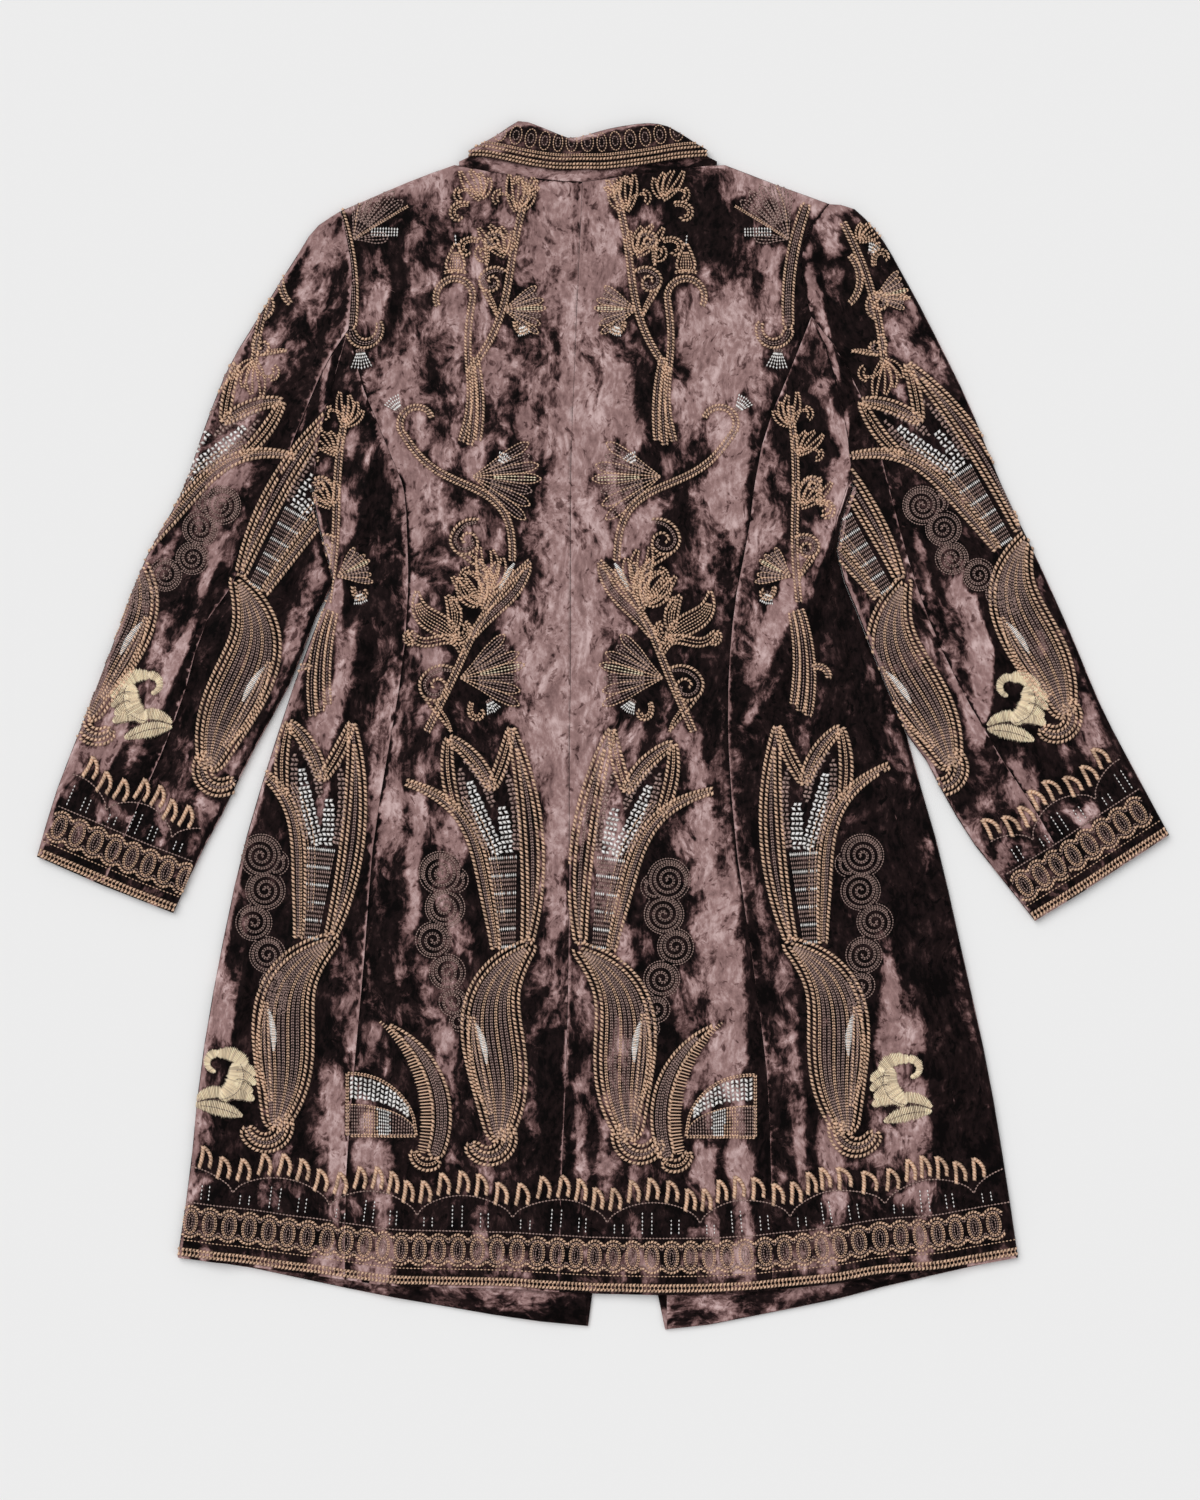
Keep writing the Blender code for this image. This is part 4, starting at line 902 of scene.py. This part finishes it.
def stroke_form(stroke):
    """The middle line of a stroke, the way across it and its half width, all along it."""
    share = (1 - np.cos(np.linspace(0.0, math.pi, STROKE_STEPS + 1)))[:, None] / 2
    start = np.array((stroke.x0, stroke.y0), float)
    run = np.array((stroke.x1, stroke.y1), float) - start
    chord = np.linalg.norm(run)
    way = run / chord
    side = np.array((-way[1], way[0]))
    bow = stroke.bow or FLAT_BOW
    turn = 2 * math.atan(2 * bow / chord)
    radius = chord / (2 * math.sin(turn))
    angle = turn * (2 * share - 1)
    aside = bow - radius * (1 - np.cos(angle)) + stroke.sway * np.sin(2 * math.pi * share)
    spine = start + way * (chord / 2 + radius * np.sin(angle)) + side * aside
    along = np.gradient(spine, axis=0)
    along /= np.linalg.norm(along, axis=1, keepdims=True)
    crown = 2 * stroke.middle - (stroke.foot + stroke.tip) / 2
    half = stroke.foot * (1 - share)**2 + 2 * crown * share * (1 - share) + stroke.tip * share**2
    if stroke.look != "ladder":
        steps = np.linalg.norm(np.diff(spine, axis=0), axis=1)
        reach = np.concatenate([[0.0], np.cumsum(steps)])[:, None]
        near_end = np.minimum(reach / stroke.foot, (reach[-1] - reach) / stroke.tip)
        half = half * np.sqrt(1 - (1 - np.clip(near_end, 0.0, 1.0))**2)
    return spine, leftward(along), half


def sew_stroke(spot, stroke):
    spine, across, half = stroke_form(stroke)
    if stroke.look in ACROSS:
        for fill in ACROSS[stroke.look]:
            sew_fill(spot, *fill, spine + across * half, spine - across * half)
        return
    look = LOOKS[stroke.look]
    for step in look.ropes:
        wide = (half > step + ROPE_LEAST)[:, 0]
        for share in (-1, 1):
            if wide.sum() > 3:
                sew_line(spot, "rope", "gold", (spine + across * (half - step) * share)[wide], look.scale)
    if look.inset > half.max():
        return
    inner = np.maximum(half - look.inset, 0.0)
    count = max(1, int(round(2 * inner.max() / look.pitch)))
    open_part = (2 * half > ROW_LEAST * count)[:, 0] | (count == 1)
    for number in range(count):
        line = (spine + across * inner * ((2 * number + 1) / count - 1))[open_part]
        if len(line) > 3:
            sew_line(spot, look.stitch, look.threads[number % len(look.threads)], line, ROW_SCALE)


def draw(spot, kind):
    """A motif: its strokes, and what a function draws."""
    for stroke in MOTIFS.get(kind, ()):
        sew_stroke(spot, stroke)
    if kind in DRAWINGS:
        DRAWINGS[kind](spot)


def moon_arch(part):
    """The arch of the half moon at a part of its height."""
    share = np.linspace(0.0, 1.0, MOON_STEPS)
    return pairs(MOON_LEFT + MOON_WIDE * share, MOON_FOOT + MOON_TALL * part * np.sqrt(1 - share**MOON_POWER))


def draw_half_moon(spot):
    """A half moon beside the crescent: beads along its arch, a dark gap, and rays over its flat side."""
    rim, bead_top, bead_foot, inner, flat = (moon_arch(part) for part in MOON_PARTS)
    sew_line(spot, "chain", "gold", rim)
    sew_line(spot, "run", "gold", inner)
    sew_line(spot, "chain", "gold", flat)
    side = [(MOON_LEFT, height) for height in (MOON_FOOT, MOON_MIDDLE, MOON_FOOT + MOON_TALL)]
    sew_line(spot, "chain", "gold", side)
    sew_fill(spot, "beads", "white", 0, bead_top[1:15], bead_foot[1:15])
    for first, last, count, thread in MOON_RAYS:
        sew_fill(spot, "rays", thread, count, inner[first:last], flat[first:last])


def draw_cloud(spot):
    """A column of scrolls, each of which hides the edge of the next, in one scalloped rim."""
    for number, lobe in enumerate(CLOUD):
        turns = lobe.radius / LOBE_PITCH
        t = np.linspace(0.0, 1.0, int(LOBE_POINTS * turns) + 10)
        angle = math.radians(lobe.start) + lobe.winding * t * turns * 2 * math.pi
        radius = lobe.radius - (lobe.radius - 1.0) * np.clip(t * (turns + 1) / turns - 1 / turns, 0, 1)
        scroll = pairs(lobe.x + radius * np.cos(angle), lobe.y + radius * np.sin(angle))
        sew_outside(spot, "chain", "mauve", scroll, CLOUD[:number], LOBE_GAP)
        reach = lobe.radius + LOBE_RIM
        rim = ring(lobe.x, lobe.y, reach, reach, 49)
        sew_outside(spot, "run", "mauve", rim, CLOUD[:number] + CLOUD[number + 1:], LOBE_RIM - 0.2)


def sew_outside(spot, stitch, thread, points, lobes, gap):
    """Sews only those runs of a line that lie outside some lobes."""
    clear = np.ones(len(points) + 1, bool)
    clear[-1] = False
    for lobe in lobes:
        clear[:-1] &= np.hypot(points[:, 0] - lobe.x, points[:, 1] - lobe.y) > lobe.radius + gap
    first = 0
    for last, free in enumerate(clear):
        if not free:
            if last - first > 2:
                sew_line(spot, stitch, thread, points[first:last], 0.8)
            first = last + 1


def petal(spot, angle, reach, wide, thread, filled="mauve"):
    """One narrow leaf from the spot's origin, out along an angle from straight up, with two rows inside."""
    lean = math.radians(angle)
    axis = np.array((-math.sin(lean), math.cos(lean)))
    side = np.array((axis[1], -axis[0]))
    for share, colour, half in ((-1.0, thread, PETAL), (1.0, thread, PETAL),
                                (-PETAL_ROW, filled, PETAL[1:4]), (PETAL_ROW, filled, PETAL[1:4])):
        line = [axis * reach * along + side * wide / 2 * out * share for along, out in half]
        sew_line(spot, "run", colour, line)


def sprig_fan(spot):
    for angle, reach, thread, filled in ((-34, 56, "gold", "mauve"), (-23, 52, "mauve", "mauve"),
                                         (-12, 58, "gold", "mauve"), (0, 60, "gold", "cream"),
                                         (12, 54, "mauve", "mauve"), (24, 57, "gold", "mauve"),
                                         (36, 61, "gold", "mauve")):
        petal(spot, angle, reach, 8.5, thread, filled)


def sprig_wide_fan(spot):
    for angle in (-22, -10, 2, 14, 26):
        petal(spot, angle, 54, 9.0, "mauve")
    sew_line(spot, "chain", "gold", [(0, 0), (-14, 22), (-30, 46)], 0.8)
    sew_line(spot, "run", "gold", [(0, 0), (9, 28), (10, 54)])
    sew_fill(spot, "rays", "white", 10, [(-30, 25), (-20, 21), (-10, 16)], [(-33, 18), (-23, 13), (-13, 9)])
    petal(spot, 62, 30, 9.0, "mauve")


def sprig_bud(spot):
    for share in np.linspace(-1, 1, 7):
        start = np.array((share * 2.5, 1.0))
        end = np.array((share * 7.5, 13.5 - 1.5 * abs(share)))
        sew_line(spot, "run", "white", [start, (start + end) / 2, end])
    sew_line(spot, "chain", "mauve", [(-3.5, 0), (0, -0.6), (3.5, 0)], 0.85)


def sprig_point_bud(spot):
    sew_stroke(spot, Stroke("gold_leaf", 0, 0, 0, 26, 0, 10.0, 6.5, 0.6))
    sew_line(spot, "chain", "gold", [(-10, 0), (0, 2), (10, 0)])
    sew_line(spot, "run", "white", [(0, 24), (0.5, 29), (1, 33)])


def sprig_spiral(spot):
    sew_line(spot, "rope", "gold", [(0, 0), (3, 11), (12, 19), (24, 20), (32, 12), (31, 2), (23, -4), (15, 0),
                                    (14, 8), (20, 11), (23, 7)], 0.9)
    sew_line(spot, "chain", "mauve", [(3, 2), (7, 10), (14, 15), (23, 16), (28, 10), (27, 4), (22, 0),
                                      (18, 3)], 0.85)
    sew_line(spot, "rope", "gold", [(32, 12), (37, 0), (42, -15), (46, -25)], 0.9)
    sew_line(spot, "chain", "gold", [(31, 2), (35, -8), (40, -18), (46, -25)], 0.85)


def sprig_hooklet(spot):
    sew_line(spot, "rope", "gold", [(0, 0), (3, 9), (11, 15), (19, 12), (20, 4), (15, 1)], 0.85)
    sew_line(spot, "chain", "gold", [(3, 0), (6, 7), (12, 11), (16, 9), (16, 5)], 0.85)


DRAWINGS = {
    "cloud": draw_cloud, "crescent": draw_half_moon,
    "fan": sprig_fan, "wide_fan": sprig_wide_fan, "bud": sprig_bud, "point_bud": sprig_point_bud,
    "spiral": sprig_spiral, "hooklet": sprig_hooklet,
}


def mirrored(points):
    """The left half of the back, drawn from the right half about the line between them."""
    points = np.asarray(points, float)
    middle = np.interp(points[..., 1], MIRROR[:, 0], MIRROR[:, 1])
    return np.stack([2 * middle - points[..., 0], points[..., 1]], axis=-1)


def embroider(ground, area, bend, stems, sprigs):
    for stem in stems:
        sew_stroke(Spot(ground, area, bend), stem)
    for sprig in sprigs:
        draw(Spot(ground, area, bend, *sprig[1:]), sprig.kind)


def embroider_cloth():
    """The motifs of the skirt and sleeves, then both halves of the back and the sleeve heads."""
    for (ground, area), motifs in LARGE_MOTIFS.items():
        for motif in motifs:
            draw(Spot(ground, area, None, *motif[1:]), motif.kind)
    for bend in (None, mirrored):
        embroider("body", "back", bend, STEMS, SPRIGS)
    for side, bend in (("right", None), ("left", mirrored)):
        embroider(side + "_sleeve", "sleeve_" + side, bend, HEAD_STEMS, HEAD_SPRIGS)


class Border:
    """Points given as a distance along an edge and a height above it."""

    def __init__(self, edge):
        self.curve = Curve(edge)

    def put(self, points):
        points = np.asarray(points, float)
        lengths = np.clip(points[:, 0], 0, self.curve.length)
        side = leftward(self.curve.way(lengths, BORDER_STEP))
        side *= np.sign(side[:, 1:2])
        return self.curve.at(lengths) + side * points[:, 1:2]


# Border along the hem and the cuffs: heights above the edge, from the edge inwards
BORDER_STEP = 4.0
BORDER_POINT_PITCH = 6
EDGE_LINES = (2.4, 7.2)
EDGE_RUNG_START = 1.4
EDGE_RUNG_PITCH = 3.4
EDGE_RUNG = (2.6, 4.8, 7.0)
BORDER_DASH = 15.0
SCALLOP_LOW = 18.0
SCALLOP_HIGH = 45.0
SCALLOP_DEPTHS = (4.5, 5.0)
SCALLOP_ROWS = ((0.0, "rope", "gold"), (2.6, "run", "mauve"))
BORDER_OVAL = 31.5
OVAL_PITCH = 16.9
OVAL_HALF = (5.4, 10.0)
OVAL_RINGS = ((1.0, "chain", "gold"), (0.62, "run", "mauve"), (0.28, "run", "mauve"))
BORDER_THIN = 48.0
BORDER_CUSP = 61.0
BORDER_ARCH = 18.0
ARCH_POWER = 0.62
LEAF_PITCH = 15.6
LEAF_TALL = 17.0
LEAF_GAP = 3.0

# White dashes under an arch: share of its width, and length
DASH_FOOT = 51.0
WHITE_DASHES = ((0.08, 9), (0.17, 9), (0.38, 20), (0.48, 20), (0.68, 14), (0.76, 14))

# Scale of the stitches in a border
BORDER_SCALE = 0.8
EDGE_SCALE = 0.85


def arch_height(share):
    return BORDER_CUSP + BORDER_ARCH * np.sin(math.pi * share)**ARCH_POWER


def sew_border(edge, ground, area, arch_pitch, arch_start):
    border = Border(edge)
    spot = Spot(ground, area, border.put)
    length = border.curve.length
    along = np.linspace(0.0, length, int(length / BORDER_POINT_PITCH) + 2)
    for height in EDGE_LINES:
        sew_line(spot, "rope", "gold", level(along, height), EDGE_SCALE)
    for place in np.arange(EDGE_RUNG_START, length, EDGE_RUNG_PITCH):
        sew_line(spot, "run", "gold", [(place, height) for height in EDGE_RUNG])
    sew_line(spot, "dash", "gold", level(along, BORDER_DASH))
    sew_line(spot, "run", "mauve", level(along, BORDER_THIN))
    across = np.linspace(-1, 1, 9)
    for place in np.arange(OVAL_PITCH / 2, length, OVAL_PITCH):
        for shrink, stitch, thread in OVAL_RINGS:
            oval = ring(place, BORDER_OVAL, OVAL_HALF[0] * shrink, OVAL_HALF[1] * (0.3 + 0.7 * shrink), 25)
            sew_line(spot, stitch, thread, oval, BORDER_SCALE)
        for shift, stitch, thread in SCALLOP_ROWS:
            for heights in (SCALLOP_LOW + shift + SCALLOP_DEPTHS[0] * across**2,
                            SCALLOP_HIGH - shift - SCALLOP_DEPTHS[1] * across**2):
                scallop = pairs(place + across * OVAL_PITCH / 2, heights)
                sew_line(spot, stitch, thread, scallop, BORDER_SCALE)
    share = np.linspace(0.0, 1.0, 19)
    leaves = int(round(arch_pitch / LEAF_PITCH))
    for start in np.arange(arch_start - arch_pitch, length, arch_pitch):
        x = start + arch_pitch * share
        inside = (x > 0) & (x < length)
        if inside.sum() > 3:
            sew_line(spot, "run", "mauve", pairs(x, arch_height(share))[inside])
        for part, tall in WHITE_DASHES:
            x_dash = start + arch_pitch * part
            if 2 < x_dash < length - 2:
                dash = [(x_dash, DASH_FOOT + tall * step) for step in (0.0, 0.5, 1.0)]
                sew_line(spot, "dash", "white", dash)
        for part in (np.arange(leaves) + 0.5) / leaves:
            x_leaf = start + arch_pitch * part
            if 4 < x_leaf < length - 4:
                sew_leaf(spot, x_leaf, arch_height(part) + LEAF_GAP, 5.0 if part > 0.5 else 2.0)


def sew_leaf(spot, x, foot, lean):
    """A small flame of two thick twisted legs, one straight and one curved, that meet at the top."""
    tip = (x - 3.2 - lean * 0.3, foot + LEAF_TALL + 1)
    sew_line(spot, "cord", "gold", [(x - 6.2, foot - 1), (x - 4.8, foot + LEAF_TALL * 0.4),
                                    (x - 4.4, foot + LEAF_TALL * 0.75), tip])
    sew_line(spot, "cord", "gold", [tip, (x + 0.6, foot + LEAF_TALL * 0.82),
                                    (x + 3.4, foot + LEAF_TALL * 0.45), (x + 2.6, foot)])


HEM_EDGE = [(-370, -461), (-318, -467), (-260, -475), (-183, -485), (-124, -487), (-78, -488), (-13, -492),
            (54, -493), (91, -493), (146, -489), (197, -484), (239, -477), (286, -473), (361, -461)]
LEFT_CUFF = [(-492, -114), (-452, -131), (-412, -148), (-373, -163)]
RIGHT_CUFF = [(375, -170), (414, -146), (452, -121), (492, -95)]
FALL_EDGE = [(-117, 493), (-104, 493), (-87, 490), (-73, 487), (-57, 484), (-40, 482), (-17, 482), (0, 482),
             (20, 484), (42, 487), (66, 491), (91, 493)]

# Rows along the collar, and the ovals above them
COLLAR_ROWS = ((2.0, "rope"), (5.2, "rope"), (9.5, "rope"), (13.0, "chain"))
COLLAR_OVAL_START = 10.0
COLLAR_OVAL_PITCH = 13.5
COLLAR_OVAL = (24, 5.0, 8.0)


def embroider_edges():
    """The borders of the hem and the cuffs, then the rows of the collar."""
    sew_border(HEM_EDGE, "body", "hem", 83.0, 42.0)
    sew_border(LEFT_CUFF, "left_sleeve", "cuffs", 64.0, 40.0)
    sew_border(RIGHT_CUFF, "right_sleeve", "cuffs", 66.0, 36.0)
    border = Border(FALL_EDGE)
    spot = Spot("collar", "collar", border.put)
    along = np.linspace(0.0, border.curve.length, 40)
    for height, stitch in COLLAR_ROWS:
        sew_line(spot, stitch, "gold", level(along, height), BORDER_SCALE)
    height, wide, tall = COLLAR_OVAL
    for place in np.arange(COLLAR_OVAL_START, border.curve.length, COLLAR_OVAL_PITCH):
        for shrink, thread in ((1.0, "gold"), (0.5, "mauve")):
            sew_line(spot, "run", thread, ring(place, height, wide * shrink, tall * shrink, 21), BORDER_SCALE)


# Corners and faces of the two forms of stitch, each 1 long, 1 wide and 1 tall
GRAIN = (
    np.array([(-0.5, 0, 0.25), (0.5, 0, 0.25), (0, -0.5, 0.1), (0, 0.5, 0.1), (0, 0, 1), (0, 0, -0.3)]),
    np.array([(0, 2, 4), (2, 1, 4), (1, 3, 4), (3, 0, 4), (2, 0, 5), (1, 2, 5), (3, 1, 5), (0, 3, 5)]),
)
BAR = (
    np.array([(-0.5, 0, 0.1), (-0.36, -0.5, 0.0), (-0.36, 0.5, 0.0), (-0.36, 0, 0.9),
              (0.36, -0.5, 0.0), (0.36, 0.5, 0.0), (0.36, 0, 0.9), (0.5, 0, 0.1)]),
    np.array([(0, 1, 3), (0, 3, 2), (0, 2, 1), (1, 4, 6), (1, 6, 3), (3, 6, 5), (3, 5, 2), (2, 5, 4),
              (2, 4, 1), (4, 7, 6), (6, 7, 5), (5, 7, 4)]),
)
STITCH_FORMS = {"grain": GRAIN, "bar": BAR}

# How stitches drop onto the cloth: from where, the least upward share of the cloth under them, how near
# to the highest cloth they have to land, and how much their length varies
DROP_FROM = 0.06             # metres
DROP_FACING = 0.25
DROP_GAP = 0.0006            # metres
LENGTH_VARIES = 0.1
STITCH_SEED = 7


def cloth_tree(cloth, nodes):
    """The surface of some pieces of cloth, to drop stitches onto."""
    verts = []
    faces = []
    for node in nodes:
        mesh = cloth[node].data
        start = len(verts)
        verts.extend(vert.co.copy() for vert in mesh.vertices)
        faces.extend([start + k for k in face.vertices] for face in mesh.polygons)
    return BVHTree.FromPolygons(verts, faces)


def make_stitches(cloth, finishes):
    everything = cloth_tree(cloth, cloth)
    trees = {ground: cloth_tree(cloth, nodes) for ground, nodes in GROUNDS.items()}
    chance = np.random.default_rng(STITCH_SEED)
    gathered = {}
    for (thread, area, ground, form), rows in work.rows.items():
        part = dropped(np.concatenate(rows), trees[ground], everything, *STITCH_FORMS[form], chance)
        gathered.setdefault((thread, area), []).append(part)
    for (thread, area), parts in gathered.items():
        starts = np.cumsum([0] + [len(verts) for verts, _, _ in parts])
        verts = np.concatenate([verts for verts, _, _ in parts])
        faces = np.concatenate([faces + start for (_, faces, _), start in zip(parts, starts)])
        shades = np.concatenate([shades for _, _, shades in parts])
        name = thread + "_stitches_" + area
        mesh = bpy.data.meshes.new(name)
        mesh.vertices.add(len(verts))
        mesh.vertices.foreach_set("co", verts.ravel())
        mesh.loops.add(len(faces) * 3)
        mesh.loops.foreach_set("vertex_index", faces.ravel().astype(np.int32))
        mesh.polygons.add(len(faces))
        mesh.polygons.foreach_set("loop_start", np.arange(0, len(faces) * 3, 3, dtype=np.int32))
        mesh.update(calc_edges=True)
        mesh.attributes.new("shade", "FLOAT", "POINT").data.foreach_set("value", shades)
        mesh.materials.append(finishes[thread])
        mesh.shade_smooth()
        piece = bpy.data.objects.new(name, mesh)
        bpy.context.collection.objects.link(piece)
        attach(piece, "root")


def dropped(rows, tree, everything, form_verts, form_faces, chance):
    """The mesh of many stitches, each set on the cloth under it. One without a way is left out."""
    keep = []
    feet = []
    ups = []
    down = Vector((0, 0, -1))
    for number, row in enumerate(rows):
        above = Vector((row[0] * MM, row[1] * MM, DROP_FROM))
        foot, up, _, gap = tree.ray_cast(above, down)
        if foot is None or up.z < DROP_FACING:
            continue
        if everything.ray_cast(above, down)[3] < gap - DROP_GAP:
            continue
        keep.append(number)
        feet.append(foot)
        ups.append(up)
    if not keep:
        return np.zeros((0, 3)), np.zeros((0, 3), int), np.zeros(0)
    rows = rows[keep]
    feet = np.array(feet)
    ups = np.array(ups)
    along = np.concatenate([rows[:, 2:4], np.zeros((len(rows), 1))], axis=1)
    along -= ups * np.sum(along * ups, axis=1, keepdims=True)
    reach = np.linalg.norm(along, axis=1)
    vary = chance.uniform(1 - LENGTH_VARIES, 1 + LENGTH_VARIES, len(rows))
    shades = chance.uniform(0.0, 1.0, len(rows))
    has_way = reach > 0
    rows, feet, ups, vary, shades = (values[has_way] for values in (rows, feet, ups, vary, shades))
    along = along[has_way] / reach[has_way][:, None]
    across = np.cross(ups, along)
    long, wide, tall = rows[:, 4], rows[:, 5], rows[:, 6]
    verts = (feet[:, None] + MM * (
        along[:, None] * (form_verts[None, :, 0:1] * (long * vary)[:, None, None])
        + across[:, None] * (form_verts[None, :, 1:2] * wide[:, None, None])
        + ups[:, None] * (form_verts[None, :, 2:3] * tall[:, None, None])))
    faces = form_faces[None] + (np.arange(len(rows)) * len(form_verts))[:, None, None]
    return verts.reshape(-1, 3), faces.reshape(-1, 3), np.repeat(shades, len(form_verts))


def thread_finish(name, colour):
    """Twisted thread: a low gloss, each stitch a little lighter or darker."""
    nodes = Nodes(name)
    shade = nodes.add("ShaderNodeAttribute", {"attribute_name": "shade"}).outputs["Fac"]
    place = nodes.add("ShaderNodeTexCoord").outputs["Object"]
    value = nodes.total((shade, 0.6), (nodes.noise(place, 60.0, 3.0), 0.4))
    deep = tuple(THREAD_DEEP * part for part in colour)
    bright = tuple(min(1.0, THREAD_BRIGHT * part) for part in colour)
    nodes.surface({
        "Base Color": nodes.colours(value, ((0.1, deep), (0.5, colour), (0.9, bright))),
        "Roughness": 0.5,
        "Specular IOR Level": 0.35,
        "Normal": nodes.bump(nodes.noise(place, 1500.0, 1.0), 0.4, 0.0002),
    })
    return nodes.material


# Each piece of cloth: its finish, the width, length and area of its cut in metres, and what it lies on
Piece = namedtuple("Piece", "node slot width length area rests")
PIECES = [
    Piece("back_left", "velvet", 0.215, 0.980, 0.166, ["front_left"]),
    Piece("back_right", "velvet", 0.235, 0.985, 0.162, ["front_right"]),
    Piece("side_back_left", "velvet", 0.225, 0.830, 0.098, ["front_left"]),
    Piece("side_back_right", "velvet", 0.215, 0.850, 0.101, ["front_right"]),
    Piece("front_left", "velvet", 0.340, 1.010, 0.241, ["floor"]),
    Piece("front_right", "velvet", 0.415, 1.015, 0.264, ["floor"]),
    Piece("sleeve_left_upper", "velvet", 0.175, 0.620, 0.089, ["sleeve_left_under"]),
    Piece("sleeve_left_under", "velvet", 0.130, 0.540, 0.058, ["floor"]),
    Piece("sleeve_right_upper", "velvet", 0.205, 0.630, 0.109, ["sleeve_right_under"]),
    Piece("sleeve_right_under", "velvet", 0.130, 0.560, 0.058, ["floor"]),
    Piece("collar_stand", "collar_velvet", 0.224, 0.046, 0.0071, ["collar_front_left", "collar_front_right"]),
    Piece("collar_fall", "collar_velvet", 0.208, 0.048, 0.0090, ["collar_stand"]),
    Piece("collar_front_left", "collar_velvet", 0.102, 0.092, 0.0048, ["front_left"]),
    Piece("collar_front_right", "collar_velvet", 0.125, 0.092, 0.0055, ["front_right"]),
    Piece("hem_facing_left", "facing_velvet", 0.326, 0.116, 0.0200, ["front_left"]),
    Piece("hem_facing_right", "facing_velvet", 0.275, 0.117, 0.0168, ["front_right"]),
]

GATHER_FOLDS = gathers()
FRAME_FOLDS = FOLDS + GATHER_FOLDS
UNEVEN_GATHERS = [fold._replace(height=fold.height * share)
                  for fold, share in zip(GATHER_FOLDS, GATHER_SHARES)]
ALL_FOLDS = FOLDS + UNEVEN_GATHERS + CREASES

# Pile from its darkest lay to its lightest
PILE_COLOURS = (
    (0.0018, 0.0009, 0.0010),
    (0.014, 0.0070, 0.0072),
    (0.108, 0.056, 0.054),
    (0.325, 0.198, 0.190),
    (0.620, 0.450, 0.440),
)


def main():
    camera_and_light()
    finishes = {
        "velvet": crushed_velvet("crushed_velvet", 0.0),
        "collar_velvet": crushed_velvet("collar_velvet", -0.02),
        "facing_velvet": crushed_velvet("facing_velvet", 0.0),
    }
    embroider_cloth()
    embroider_edges()
    cloth = {}
    for cut in PIECES:
        piece = laid("cloth_" + cut.node, cut.node)
        cloth[cut.node] = piece
        paint(piece, cut.node)
        piece.data.materials.append(finishes[cut.slot])
        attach(piece, "root")
        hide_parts(cut.node)
    make_stitches(cloth, {name: thread_finish(name + "_thread", colour) for name, colour in THREADS.items()})


main()
